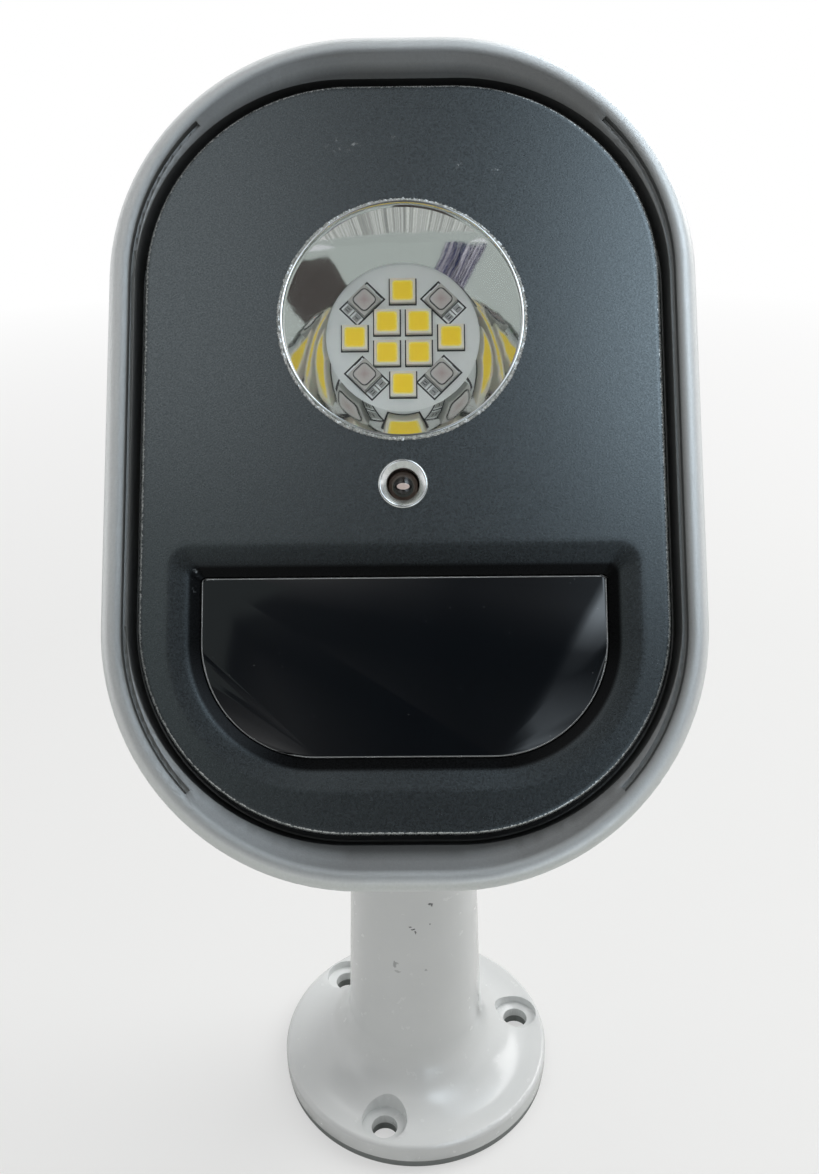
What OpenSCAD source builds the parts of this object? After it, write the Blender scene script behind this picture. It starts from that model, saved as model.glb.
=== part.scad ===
// Security light: an oblong head that tilts and swivels on a cast arm with a round flange.
// Row frame: origin at the middle of the flange's underside, +Z up the arm, the face towards -Y.
// The head is drawn in its own frame: origin at the middle of the panel's face, x to the right,
// y up the face, z out of the face.

/* [Head] */
// Width over the outer bead
head_w = 65.8; // [62:0.2:76]
// Height over the outer bead
head_h = 95.9; // [93:0.2:110]
// Corner radius of the outer bead
head_r = 28.25; // [26:0.25:30]
// Width of the frame's rim along the long sides, from its outer edge to the opening
rim_side = 3.05; // [2.7:0.05:3.5]
// Width of the rim at the top and the bottom
rim_end = 4.8; // [4.2:0.05:5.4]
// By how much the opening's corner radius is smaller than the outer one
rim_corner = 4.3; // [3.6:0.05:5]
// Depth of the front frame behind the panel's face
frame_depth = 12; // [11.5:0.5:16]
// Depth of the rear cover
cover_depth = 21; // [20:0.5:30]
// Wall of the frame and the rear cover
wall = 2.4; // [2:0.1:3]
// Radius of the rounded bead
bead_r = 1.6; // [1.2:0.1:1.8]
// How far the bead stands out of the panel's face
bead_rise = 1; // [0.6:0.1:1.4]
// Width of the groove along each long side
groove_w = 0.55; // [0.3:0.05:0.8]
// Depth of that groove
groove_depth = 1.1; // [0.6:0.1:1.6]
// How far round each corner the groove runs, in degrees
groove_turn = 44; // [20:1:70]

/* [Panel] */
// Thickness of the front panel
panel_t = 3; // [2.6:0.1:3.6]
// Open gap between the panel and the frame
panel_gap = 1; // [0.6:0.1:1.4]
// Bright chamfer on the panel's edge
panel_chamfer = 0.3; // [0.2:0.05:0.6]
// Width of the ledge that the panel rests on
ledge_w = 2.2; // [1.8:0.1:2.6]
// Thickness of that ledge
ledge_t = 2; // [1.6:0.1:2.4]
// Thickness of the seal under the panel
panel_seal_t = 0.6; // [0.4:0.1:1]

/* [Reflector and lamp] */
// Height of the reflector's centre above the middle of the head
reflector_y = 14.5; // [14.5:0.1:18]
// Radius over the reflector's bright lip
lip_r = 13.95; // [13.8:0.05:15.5]
// Radius of the cup at its bottom
cup_base_r = 9; // [8.8:0.1:9.4]
// Radius of the cup at its mouth
cup_mouth_r = 13.45; // [13:0.05:13.6]
// Depth of the cup below the panel's face
cup_depth = 6.8; // [6.4:0.1:7.4]
// Height of the straight collar at the cup's bottom
cup_collar = 0.9; // [0.6:0.1:1.4]
// Wall of the cup
cup_wall = 0.8; // [0.6:0.1:1]
// Thickness of the clear cover lens
lens_t = 0.8; // [0.6:0.1:1]
// Radius of the lamp board
lamp_board_r = 16; // [15.5:0.1:16.2]
// Thickness of the lamp board
lamp_board_t = 1.2; // [1:0.1:1.6]
// Side of a white lamp package
lamp_side = 3; // [2.8:0.05:3.1]
// Height of a lamp package
lamp_t = 0.7; // [0.5:0.05:1]
// Distance of the four outer packages from the middle
outer_lamp = 5.65; // [5.6:0.05:6]
// Half the pitch of the four inner packages
inner_lamp = 1.87; // [1.75:0.01:1.9]
// Distance of the infrared packages from the middle, along x and y
ir_lamp = 4.5; // [4.5:0.05:4.7]
// Side of an infrared package
ir_side = 2.8; // [2.4:0.1:2.8]
// Radius of the heat spreader's stem
stem_r = 7.5; // [6:0.1:8]

/* [Light sensor] */
// Height of the light sensor's centre on the face
sensor_y = -4.35; // [-5.5:0.05:-4.2]
// Radius over the sensor's bright ring
ring_r = 2.75; // [2.6:0.05:3.1]
// Radius of the ring's shank
ring_shank_r = 2.25; // [2.2:0.05:2.4]
// Radius of the sensor's dome
dome_r = 1.75; // [1.5:0.05:1.8]
// Length of the light sensor's body
dome_len = 5; // [4.5:0.1:6]

/* [Sensor window] */
// Width of the D-shaped window
window_w = 44.2; // [40:0.2:45]
// Height of the D-shaped window
window_h = 19.5; // [17:0.1:20]
// Height of the window's straight top edge on the face
window_top = -14.5; // [-15.5:0.1:-14.2]
// Radius of its two lower corners
window_r = 12.6; // [9:0.1:14]
// Radius of its two upper corners
window_corner_r = 0.5; // [0.3:0.1:1]
// Thickness of the window
window_t = 1.2; // [1:0.1:1.4]
// How far the steep bevel reaches round the window
bevel_w = 1.3; // [1:0.1:1.6]
// How far the shallow dish reaches round the window
dish_w = 3.4; // [3:0.1:3.8]
// Depth of the window's face below the panel's face
window_sink = 0.9; // [0.7:0.1:1]
// Depth of the shallow dish where the bevel starts
dish_sink = 0.35; // [0.2:0.05:0.5]

/* [Boards] */
// Thickness of the circuit boards
board_t = 1.6; // [1.2:0.1:1.8]
// Gap from the panel's back to the motion board
motion_board_gap = 5.5; // [5:0.1:6]
// Height of the pillars that carry the driver board
pillar_len = 10; // [9:0.5:10.5]

/* [Arm] */
// Radius of the flange
flange_r = 26.5; // [26:0.1:30]
// Thickness of the flange
flange_t = 3.6; // [3:0.1:5]
// Thickness of the pad under the flange
pad_t = 1.8; // [1.2:0.1:2.5]
// Height of the top of the arm
arm_top = 98; // [80:1:140]
// Radius of the arm where it meets the flange
arm_base_r = 13.5; // [13:0.1:14]
// Radius of the arm at its top
arm_top_r = 9.9; // [9.6:0.1:11.5]
// Radius of the fillet between the arm and the flange
fillet_r = 10.5; // [8:0.5:11]
// Radius of the cable bore through the arm
cable_r = 7; // [6.7:0.1:7.4]
// Diameter of the circle that the three screw holes lie on
bolt_circle = 43; // [42:0.2:43.6]
// Radius of a screw hole
bolt_hole_r = 2.45; // [2:0.05:2.7]
// Radius of the counterbore round a screw hole
counterbore_r = 4.3; // [4:0.1:4.5]
// Depth of the counterbore's floor below the flange's face
counterbore_depth = 1.6; // [1:0.1:2]
// Turn of the first screw hole from +X, in degrees
bolt_turn = 14; // [0:1:119]

/* [Joints] */
// Distance from the top of the arm to the tilt axis
pivot_rise = 20; // [19:0.5:26]
// Distance from the panel's face back to the tilt axis
pivot_back = 56; // [53:0.5:64]
// Angle of the face above level as it stands
face_rise = 33; // [0:1:60]
// Radius of the hinge ears round the tilt axis
ear_r = 8.5; // [7.5:0.1:8.8]
// Thickness of one hinge ear
ear_t = 5; // [4:0.1:6]
// Width of the tongue between the ears
tongue_w = 12; // [10:0.2:13]
// Thickness of the friction washers
washer_t = 0.8; // [0.5:0.1:1.2]
// Radius of the tilt bolt
tilt_bolt_r = 3; // [2.5:0.1:3]
// Radius of the spigot that turns in the arm
spigot_r = 6.45; // [6:0.05:6.5]
// Length of that spigot
spigot_len = 14; // [12:0.5:16]
// Radius of the cable outlet in the knuckle's back
outlet_r = 2.8; // [2.2:0.1:3]

/* [Rear of the head] */
// Height of the cooling fins
fin_h = 6; // [3:0.5:7]
// Thickness of a fin
fin_t = 1.6; // [1.2:0.1:2]
// Distance from one fin to the next
fin_pitch = 4.6; // [4:0.1:5]
// Distance from the head's top edge down to the cable gland's centre
gland_drop = 18.35; // [18:0.05:20]
// Radius of the gland's thread
gland_r = 5; // [4.6:0.1:5.4]
// Radius of the cable bore in the gland
gland_bore_r = 2.6; // [2:0.1:3]

/* [Hidden] */
$fn = 64;
fit_gap = 0.1;       // running and locating clearance on flat faces
bore_gap = 0.05;     // radial clearance of a shaft or a screw in its hole
seat_gap = 0.3;      // clearance that one piece keeps from its neighbour
seal_w = 1.4;        // width of the seals
fin_inset = 1.2;     // how far the fins' crown is drawn in from the cover's form
eps = 0.01;

opening_w = head_w - 2 * rim_side;
opening_h = head_h - 2 * rim_end;
opening_r = head_r - rim_corner;
panel_w = opening_w - 2 * panel_gap;
panel_h = opening_h - 2 * panel_gap;
panel_r = opening_r - panel_gap;
ledge_z = -panel_t - panel_seal_t;
seal_t = 1;
joint_z = -frame_depth - seal_t;
back_z = joint_z - cover_depth;
floor_z = back_z + wall;
bead_z = bead_rise - bead_r;
corner_x = head_w / 2 - head_r;
corner_y = head_h / 2 - head_r;

// Screws that hold the rear cover, one in each corner
cover_screw_r = 1.45;
cover_screw_len = 10;
cover_screw_in = 21.5;
cover_cap_r = 2.75;
cover_cap_t = 3;
cover_seat_t = 5;
cover_seat_z = joint_z - cover_seat_t;
cover_bite = cover_screw_len - cover_seat_t - seal_t;
post_r = 4.7;
boss_r = 3;
screw_x = corner_x + cover_screw_in * cos(45);
screw_y = corner_y + cover_screw_in * sin(45);

// Lamp
lamp_floor_z = -cup_depth;
lamp_board_z = lamp_floor_z - lamp_board_t;
lamp_screw_r = 1;
lamp_screw_x = lamp_board_r - 2.3;
screw_bite = 3;      // how far a board screw reaches into what holds it
bite_gap = 0.5;      // how much deeper its hole is
cap_t = 1.2;         // height of the board screws' caps
lip_z = 0.35;
lens_z = lip_z - 0.1;
lens_seat_r = cup_mouth_r - 0.1;

// Motion board, held by posts on the panel's back beside the window
motion_z = -panel_t - motion_board_gap;
motion_post_r = 1.8;
motion_post_x = window_w / 2 + fit_gap + motion_post_r + seat_gap;
motion_post_y = [sensor_y - 1.65, panel_r - panel_h / 2 - 3.8];
motion_board_x = motion_post_x + motion_post_r + seat_gap;
motion_board_top = reflector_y - lamp_board_r - 0.4;
motion_board_low = boss_r + 0.6 - screw_y;
motion_sensor_side = 12;
motion_screw_r = 1;

// Gland, and the heat spreader's stem, which stands clear of the gland's nut
gland_flat = 13;
gland_hex_t = 4;
gland_neck_r = gland_r - 0.9;
gland_neck_len = 5;
gland_cap_len = 8;
gland_nut_t = 3.5;
gland_y = head_h / 2 - gland_drop;
stem_y = gland_y - gland_flat / 2 - stem_r - 1.1;

// Driver board, on pillars between the lower cover screws and the stem
driver_z = floor_z + pillar_len;
driver_front_z = driver_z + board_t;
driver_board_x = head_w / 2 - wall - 8.5;
driver_board_top = stem_y - stem_r - 2.5;
driver_board_low = post_r + 1.2 - screw_y;
pillar_r = 2.5;
pillar_x = driver_board_x - 5;
pillar_y = [driver_board_low + 5, driver_board_top - 3.5];
board_screw_r = 1.25;
part_h = 7.2;
core_size = [14, 12];
core_plate = 1.5;
part_gap = 0.8;
capacitor_r = 4;
capacitor_y = pillar_y[0] + 8;
capacitor_places = [[6.5, capacitor_y], [15.5, capacitor_y]];
chip_size = [6, 5, 1.6];
chip_at = [4, capacitor_y + 9.5];
terminal_size = [10, 8];
terminal_at = [-6, driver_board_top - terminal_size[1] / 2 - part_gap];
core_at = [terminal_at[0] - 1, terminal_at[1] - (terminal_size[1] + core_size[1]) / 2 - part_gap];

// Window
window_z = -window_sink;
tape_t = 0.3;
window_mid = window_top - window_h / 2;

// Joints
pivot_z = arm_top + pivot_rise;
collar_t = 8;
collar_r = arm_top_r + 0.6;
knuckle_z = arm_top + washer_t;
ear_x = tongue_w / 2 + washer_t + 2 * fit_gap;
pan_groove_w = 4.4;
pan_groove_depth = 0.8;
spigot_bore_r = spigot_r + bore_gap;
swivel_screw_r = 2;
swivel_screw_z = arm_top - spigot_len / 2;
tilt_hex_r = 5.8;
tilt_head_t = 4;
tilt_nut_t = 4.5;
tilt_nut_dome = 2.5;

// Rear cover: its rim lies a little inside the frame's outline, and its back edge is rounded in
// steps of [how far it is drawn in, height over the back]
cover_rim_in = 0.8;
cover_rim_t = 4;
back_steps = [[2.2, 7], [3.7, 2.6], [6, 0.5], [8, 0.1]];
fin_clear = 3.2;

// Clevis on the cover's back: its upper screw holds the heat spreader's stem as well
clevis_t = 3;
clevis_side = 1;
clevis_r = 4;
clevis_foot = 10;
clevis_screw_r = 1.5;
clevis_cap_r = 2.75;
clevis_cap_t = 2.2;
clevis_screw_y = stem_y - 2;
clevis_bite = 3.4;
clevis_boss_r = 3.2;

// Helpers

// Rectangle with true round corners
module round_rect(w, h, r) {
  square([w, h - 2 * r], center = true);
  square([w - 2 * r, h], center = true);
  for (sx = [-1, 1], sy = [-1, 1])
    translate([sx * (w / 2 - r), sy * (h / 2 - r)])
      circle(r = r);
}

// Flat slab with round corners, its top at z
module slab(w, h, r, z, t) {
  translate([0, 0, z - t])
    linear_extrude(height = t)
      round_rect(w, h, r);
}

// A profile run along one long side and round part of its two corners.
// In the profile, x points out of the outline and y out of the face.
module side_run(w, h, r, turn) {
  translate([w / 2, 0, 0])
    rotate([90, 0, 0])
      linear_extrude(height = h - 2 * r, center = true)
        children();
  for (s = [0, 1])
    mirror([0, s, 0])
      translate([w / 2 - r, h / 2 - r, 0])
        rotate_extrude(angle = turn)
          translate([r, 0])
            children();
}

// A profile run right round the outline
module full_run(w, h, r) {
  for (s = [0, 1]) {
    mirror([s, 0, 0])
      side_run(w, h, r, 90)
        children();
    mirror([0, s, 0])
      translate([0, h / 2, 0])
        rotate([90, 0, 90])
          linear_extrude(height = w - 2 * r, center = true)
            children();
  }
}

// Flat ring between two outlines
module ring_slab(w, h, r, inset, width, z, t) {
  difference() {
    slab(w - 2 * inset, h - 2 * inset, r - inset, z, t);
    slab(w - 2 * (inset + width), h - 2 * (inset + width), r - inset - width, z + 1, t + 2);
  }
}

// The D of the sensor window, grown by g all round
module d_shape(g) {
  w = window_w / 2 + g;
  top = window_top + g;
  low = window_top - window_h - g;
  rt = max(window_corner_r + g / 2, 0.2);
  rb = window_r + g;
  translate([-w, low + rb])
    square([2 * w, top - rt - low - rb]);
  translate([-w + rt, low + rb])
    square([2 * (w - rt), top - low - rb]);
  translate([-w + rb, low])
    square([2 * (w - rb), rb + eps]);
  for (s = [-1, 1]) {
    translate([s * (w - rt), top - rt])
      circle(r = rt);
    translate([s * (w - rb), low + rb])
      intersection() {
        circle(r = rb);
        translate([-rb, -rb])
          square([2 * rb, rb]);
      }
  }
}

// A D-shaped slice that starts at height z, for sloping cuts
module d_slice(g, z, t) {
  translate([0, 0, z])
    linear_extrude(height = t)
      d_shape(g, $fn = 48);
}

// Where the head stands
module at_head() {
  translate([0, 0, pivot_z])
    rotate([90 - face_rise, 0, 0])
      translate([0, 0, pivot_back])
        children();
}

// Cap screw along z: its shank reaches up from the seat, its cap hangs below
module cap_screw(r, len, cap_r, cap_t) {
  cylinder(r = r, h = len);
  translate([0, 0, -cap_t])
    difference() {
      cylinder(r = cap_r, h = cap_t);
      translate([0, 0, -eps])
        cylinder(r = cap_r * 0.55, h = cap_t * 0.5, $fn = 6);
    }
}

module four(x, y) {
  for (sx = [-1, 1], sy = [-1, 1])
    translate([sx * x, sy * y, 0])
      children();
}

// Left and right at each of the given heights
module at_posts(x, ys) {
  for (sx = [-1, 1], y = ys)
    translate([sx * x, y, 0])
      children();
}

// Arm

module arm_profile() {
  face_z = pad_t + flange_t;
  edge_r = 0.9;
  draft = (arm_base_r - arm_top_r) / (arm_top - face_z);
  stretch = sqrt(1 + draft * draft);
  fillet_x = arm_base_r + fillet_r * (stretch - draft);
  difference() {
    union() {
      translate([0, pad_t])
        square([flange_r, flange_t - edge_r]);
      translate([0, pad_t])
        square([flange_r - edge_r, flange_t]);
      translate([flange_r - edge_r, face_z - edge_r])
        circle(r = edge_r);
      polygon([
        [0, face_z - eps],
        [fillet_x, face_z - eps],
        [fillet_x, face_z],
        [fillet_x - fillet_r / stretch, face_z + fillet_r - fillet_r * draft / stretch],
        [arm_top_r, arm_top],
        [0, arm_top]
      ]);
    }
    translate([fillet_x, face_z + fillet_r])
      circle(r = fillet_r);
  }
}

module bolt_places() {
  for (i = [0:2])
    rotate([0, 0, bolt_turn + 120 * i])
      translate([bolt_circle / 2, 0, 0])
        children();
}

module bracket_arm() {
  face_z = pad_t + flange_t;
  color("#e9eceb")
    difference() {
      rotate_extrude()
        arm_profile();
      translate([0, 0, -1])
        cylinder(r = cable_r, h = arm_top - spigot_len - 2 + 1);
      translate([0, 0, -1])
        cylinder(r = spigot_bore_r, h = arm_top + 2);
      bolt_places() {
        translate([0, 0, -1])
          cylinder(r = bolt_hole_r, h = face_z + 2);
        translate([0, 0, face_z - counterbore_depth])
          cylinder(r = counterbore_r, h = fillet_r + counterbore_depth);
      }
      translate([0, 0, swivel_screw_z])
        rotate([-90, 0, 0])
          cylinder(r = swivel_screw_r + bore_gap, h = 2 * arm_top_r);
    }
}

module base_pad() {
  color("#8d908e")
    difference() {
      cylinder(r = flange_r - 0.2, h = pad_t);
      translate([0, 0, -1])
        cylinder(r = cable_r, h = pad_t + 2);
      bolt_places()
        translate([0, 0, -1])
          cylinder(r = bolt_hole_r, h = pad_t + 2);
    }
}

// Set screw in the arm's back, whose tip runs in the spigot's groove
module swivel_screw() {
  tip = spigot_r - pan_groove_depth + fit_gap;
  len = arm_top_r - tip + 0.2;
  color("#b9bcbd")
    translate([0, 0, swivel_screw_z])
      rotate([-90, 0, 0])
        translate([0, 0, tip])
          difference() {
            cylinder(r = swivel_screw_r, h = len);
            translate([0, 0, len - 1.6])
              cylinder(r = 1.15, h = 2, $fn = 6);
          }
}

module swivel_washer() {
  color("#d8d6cc")
    translate([0, 0, arm_top])
      difference() {
        cylinder(r = arm_top_r - 0.4, h = washer_t);
        translate([0, 0, -1])
          cylinder(r = spigot_bore_r + fit_gap, h = washer_t + 2);
      }
}

// Knuckle

module swivel_knuckle() {
  collar_z = knuckle_z + fit_gap;
  neck_top = pivot_z - ear_r - 1;
  hollow_r = spigot_r - 2;
  color("#c4c7c8")
    difference() {
      union() {
        translate([0, 0, arm_top - spigot_len])
          cylinder(r = spigot_r, h = spigot_len + washer_t + 1);
        translate([0, 0, collar_z])
          cylinder(r = collar_r, h = collar_t - 0.8);
        hull() {
          translate([0, 0, collar_z + collar_t - 0.8])
            cylinder(r1 = collar_r, r2 = collar_r - 0.8, h = 0.8);
          translate([-tongue_w / 2, -ear_r, neck_top - 0.5])
            cube([tongue_w, 2 * ear_r, 0.5]);
        }
        translate([-tongue_w / 2, -ear_r, neck_top - eps])
          cube([tongue_w, 2 * ear_r, pivot_z - neck_top + eps]);
        translate([-tongue_w / 2, 0, pivot_z])
          rotate([0, 90, 0])
            cylinder(r = ear_r, h = tongue_w);
      }
      translate([-tongue_w, 0, pivot_z])
        rotate([0, 90, 0])
          cylinder(r = tilt_bolt_r + bore_gap, h = 2 * tongue_w);
      translate([0, 0, arm_top - spigot_len - 1])
        cylinder(r = hollow_r, h = spigot_len + washer_t + collar_t);
      translate([0, 0, collar_z + collar_t / 2])
        rotate([-90, 0, 0])
          cylinder(r = outlet_r, h = 2 * collar_r);
      translate([0, 0, swivel_screw_z - pan_groove_w / 2])
        difference() {
          cylinder(r = spigot_r + 1, h = pan_groove_w);
          translate([0, 0, -1])
            cylinder(r = spigot_r - pan_groove_depth, h = pan_groove_w + 2);
        }
    }
}

module tilt_washers() {
  color("#d8d6cc")
    for (s = [0, 1])
      mirror([s, 0, 0])
        translate([tongue_w / 2 + fit_gap, 0, pivot_z])
          rotate([0, 90, 0])
            difference() {
              cylinder(r = ear_r - 0.5, h = washer_t);
              translate([0, 0, -1])
                cylinder(r = tilt_bolt_r + bore_gap, h = washer_t + 2);
            }
}

module tilt_bolt() {
  outer = ear_x + ear_t;
  thread = tilt_nut_t + tilt_nut_dome / 2;
  color("#b9bcbd")
    translate([0, 0, pivot_z])
      rotate([0, 90, 0]) {
        translate([0, 0, -outer - thread])
          cylinder(r = tilt_bolt_r, h = 2 * outer + thread + eps);
        translate([0, 0, outer])
          cylinder(r = tilt_hex_r, h = tilt_head_t, $fn = 6);
      }
}

module tilt_nut() {
  outer = ear_x + ear_t;
  color("#b9bcbd")
    translate([0, 0, pivot_z])
      rotate([0, -90, 0])
        translate([0, 0, outer])
          difference() {
            union() {
              cylinder(r = tilt_hex_r, h = tilt_nut_t, $fn = 6);
              translate([0, 0, tilt_nut_t])
                cylinder(r1 = tilt_hex_r * 0.8, r2 = tilt_hex_r * 0.6, h = tilt_nut_dome);
            }
            translate([0, 0, -1])
              cylinder(r = tilt_bolt_r + bore_gap, h = 1 + tilt_nut_t + tilt_nut_dome / 2 + fit_gap);
          }
}

// Head castings

module frame_profile() {
  ramp_in = bead_r * (1 + cos(45));
  ramp_z = bead_z + bead_r * sin(45);
  reach = rim_end + ledge_w + 2;
  slope = 0.5;
  translate([-bead_r, bead_z])
    circle(r = bead_r);
  polygon([
    [0, -frame_depth],
    [0, bead_z],
    [-bead_r, bead_z],
    [-ramp_in, ramp_z],
    [-reach, ramp_z - slope * (reach - ramp_in)],
    [-reach, -frame_depth]
  ]);
}

module front_frame() {
  inner_w = opening_w - 2 * ledge_w;
  inner_h = opening_h - 2 * ledge_w;
  inner_r = opening_r - ledge_w;
  groove_x = bead_r * (1 + cos(45)) - groove_w / 2;
  color("#b7babb")
    difference() {
      union() {
        full_run(head_w, head_h, head_r)
          frame_profile();
        translate([0, 0, -frame_depth])
          four(screw_x, screw_y)
            cylinder(r = boss_r, h = frame_depth + ledge_z - ledge_t + eps);
      }
      slab(opening_w, opening_h, opening_r, bead_rise + 1, bead_rise + 1 - ledge_z);
      slab(inner_w, inner_h, inner_r, bead_rise, bead_rise + frame_depth - ledge_t);
      difference() {
        slab(head_w - 2 * wall, head_h - 2 * wall, head_r - wall, ledge_z - ledge_t, frame_depth);
        translate([0, 0, -frame_depth - 1])
          four(screw_x, screw_y)
            cylinder(r = boss_r, h = frame_depth + 1);
      }
      four(screw_x, screw_y)
        translate([0, 0, -frame_depth - 1])
          cylinder(r = cover_screw_r + bore_gap, h = 1 + cover_bite + bite_gap);
      for (s = [0, 1])
        mirror([s, 0, 0])
          side_run(head_w, head_h, head_r, groove_turn)
            translate([-groove_x - groove_w, bead_z + bead_r - groove_depth])
              square([groove_w, groove_depth + 1]);
    }
}

module panel_profile() {
  polygon([
    [0, -panel_t],
    [0, -panel_chamfer],
    [-panel_chamfer, 0],
    [-3, 0],
    [-3, -panel_t]
  ]);
}

module front_panel() {
  post_len = motion_board_gap;
  color("#4d5355")
    difference() {
      union() {
        full_run(panel_w, panel_h, panel_r)
          panel_profile();
        slab(panel_w - 4, panel_h - 4, panel_r - 2, 0, panel_t);
        translate([0, 0, -panel_t - post_len])
          at_posts(motion_post_x, motion_post_y)
            cylinder(r = motion_post_r, h = post_len + eps);
      }
      translate([0, reflector_y, -panel_t - 1])
        cylinder(r = cup_mouth_r + seat_gap, h = panel_t + 2);
      translate([0, sensor_y, -panel_t - 1])
        cylinder(r = ring_shank_r + bore_gap, h = panel_t + 2);
      hull() {
        d_slice(dish_w, 0, 1);
        d_slice(bevel_w, -dish_sink, 0.1);
      }
      hull() {
        d_slice(bevel_w, -dish_sink, 0.5);
        d_slice(fit_gap, window_z, 0.1);
      }
      translate([0, 0, window_z - window_t - tape_t])
        linear_extrude(height = window_t + tape_t + eps)
          d_shape(fit_gap);
      translate([0, 0, -panel_t - 1])
        linear_extrude(height = panel_t)
          d_shape(-seal_w);
      at_posts(motion_post_x, motion_post_y)
        translate([0, 0, -panel_t - post_len - 1])
          cylinder(r = motion_screw_r + bore_gap, h = 1 + screw_bite + bite_gap);
    }
}

module panel_seal() {
  color("#26282a")
    ring_slab(opening_w, opening_h, opening_r, seat_gap, ledge_w - 2 * seat_gap, -panel_t, panel_seal_t);
}

module cover_seal() {
  color("#26282a")
    ring_slab(head_w, head_h, head_r, 0.9, seal_w, -frame_depth, seal_t);
}

// The rear cover's outer form: drawn in towards the back, with a rounded back edge
module cover_form(inset, back) {
  w = head_w - 2 * (cover_rim_in + inset);
  h = head_h - 2 * (cover_rim_in + inset);
  r = head_r - cover_rim_in - inset;
  hull() {
    slab(w, h, r, joint_z, cover_rim_t, $fn = 96);
    for (step = back_steps)
      slab(w - 2 * step[0], h - 2 * step[0], r - step[0], back + step[1], 0.1, $fn = 96);
  }
}

// Upright cooling fins, cut to a deeper copy of the cover's form
module fins() {
  first = ear_x + ear_t + fin_clear;
  count = floor((head_w / 2 - 5 - first) / fin_pitch) + 1;
  intersection() {
    cover_form(fin_inset, back_z - fin_h);
    for (s = [-1, 1], i = [0:count - 1])
      translate([s * (first + i * fin_pitch) - fin_t / 2, -head_h / 2, back_z - fin_h])
        cube([fin_t, head_h, cover_depth + fin_h - 3]);
  }
}

// Side view of an ear, pivot at the origin: a round end whose tangents run to its foot on the plate
module ear_profile() {
  foot_z = pivot_back + back_z - clevis_t + eps;
  reach = sqrt(clevis_foot * clevis_foot + foot_z * foot_z);
  turn = atan2(foot_z, clevis_foot) - acos(ear_r / reach);
  touch = [ear_r * cos(turn), ear_r * sin(turn)];
  circle(r = ear_r);
  polygon([
    [clevis_foot, foot_z],
    touch,
    [-touch[0], touch[1]],
    [-clevis_foot, foot_z]
  ]);
}

module head_clevis() {
  plate_w = 2 * (ear_x + ear_t + clevis_side);
  plate_h = 2 * (clevis_screw_y + clevis_cap_r + 1);
  color("#aeb2b3")
    difference() {
      union() {
        slab(plate_w, plate_h, clevis_r, back_z, clevis_t);
        for (x = [-ear_x - ear_t, ear_x])
          translate([x, 0, -pivot_back])
            rotate([90, 0, 90])
              linear_extrude(height = ear_t)
                ear_profile();
      }
      translate([-plate_w, 0, -pivot_back])
        rotate([0, 90, 0])
          cylinder(r = tilt_bolt_r + bore_gap, h = 2 * plate_w);
      for (s = [-1, 1])
        translate([0, s * clevis_screw_y, back_z - clevis_t - 1])
          cylinder(r = clevis_screw_r + bore_gap, h = clevis_t + 2);
    }
}

module clevis_screws() {
  color("#b9bcbd")
    for (s = [-1, 1])
      translate([0, s * clevis_screw_y, back_z - clevis_t])
        cap_screw(clevis_screw_r, clevis_t + wall + clevis_bite, clevis_cap_r, clevis_cap_t);
}

module rear_cover() {
  rim = 2 * (cover_rim_in + wall);
  color("#aeb2b3")
    difference() {
      union() {
        cover_form(0, back_z);
        fins();
      }
      difference() {
        union() {
          cover_form(wall, floor_z);
          slab(head_w - rim, head_h - rim, head_r - rim / 2, joint_z + 1, 2);
        }
        translate([0, 0, floor_z - 1])
          four(screw_x, screw_y)
            cylinder(r = post_r, h = cover_depth + 1);
        translate([0, -clevis_screw_y, floor_z - 1])
          cylinder(r = clevis_boss_r, h = 1 + clevis_bite + bite_gap + 1);
      }
      for (s = [-1, 1])
        translate([0, s * clevis_screw_y, back_z - 1])
          cylinder(r = clevis_screw_r + bore_gap, h = 1 + wall + clevis_bite + bite_gap);
      four(screw_x, screw_y) {
        translate([0, 0, cover_seat_z - 1])
          cylinder(r = cover_screw_r + bore_gap + 0.1, h = cover_screw_len);
        translate([0, 0, back_z - fin_h])
          cylinder(r = 3.1, h = cover_seat_z - back_z + fin_h);
      }
      translate([0, gland_y, back_z - 1])
        cylinder(r = gland_r + bore_gap, h = wall + 2);
    }
}

module cover_screws() {
  color("#b9bcbd")
    four(screw_x, screw_y)
      translate([0, 0, cover_seat_z])
        cap_screw(cover_screw_r, cover_screw_len, cover_cap_r, cover_cap_t);
}

// Lamp

// Cup: a straight collar on the lamp board, then a cone that opens to the lens seat
module reflector() {
  shelf_z = lens_z - lens_t;
  shelf_r = lens_seat_r - 0.15;
  collar_z = cup_collar - cup_depth;
  slope = (shelf_r - cup_base_r) / (shelf_z - collar_z);
  neck_z = -panel_t - fit_gap;
  neck_r = cup_base_r + cup_wall + slope * (neck_z - collar_z);
  color("#e3e6e8")
    translate([0, reflector_y, 0])
      rotate_extrude()
        polygon([
          [cup_base_r, -cup_depth],
          [cup_base_r, collar_z],
          [shelf_r, shelf_z],
          [lens_seat_r, shelf_z],
          [lens_seat_r, lip_z],
          [lip_r, lip_z],
          [lip_r + 0.1, 0],
          [cup_mouth_r + 0.2, 0],
          [cup_mouth_r + 0.2, neck_z],
          [neck_r, neck_z],
          [cup_base_r + cup_wall, collar_z],
          [cup_base_r + cup_wall, -cup_depth]
        ]);
}

module cover_lens() {
  color([0.86, 0.9, 0.92, 0.3])
    translate([0, reflector_y, lens_z - lens_t])
      cylinder(r = lens_seat_r - bore_gap, h = lens_t);
}

module led_board() {
  color("#eef0ee")
    translate([0, reflector_y, lamp_board_z])
      difference() {
        cylinder(r = lamp_board_r, h = lamp_board_t);
        for (s = [-1, 1])
          translate([s * lamp_screw_x, 0, -1])
            cylinder(r = lamp_screw_r + bore_gap, h = lamp_board_t + 2);
      }
}

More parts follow.
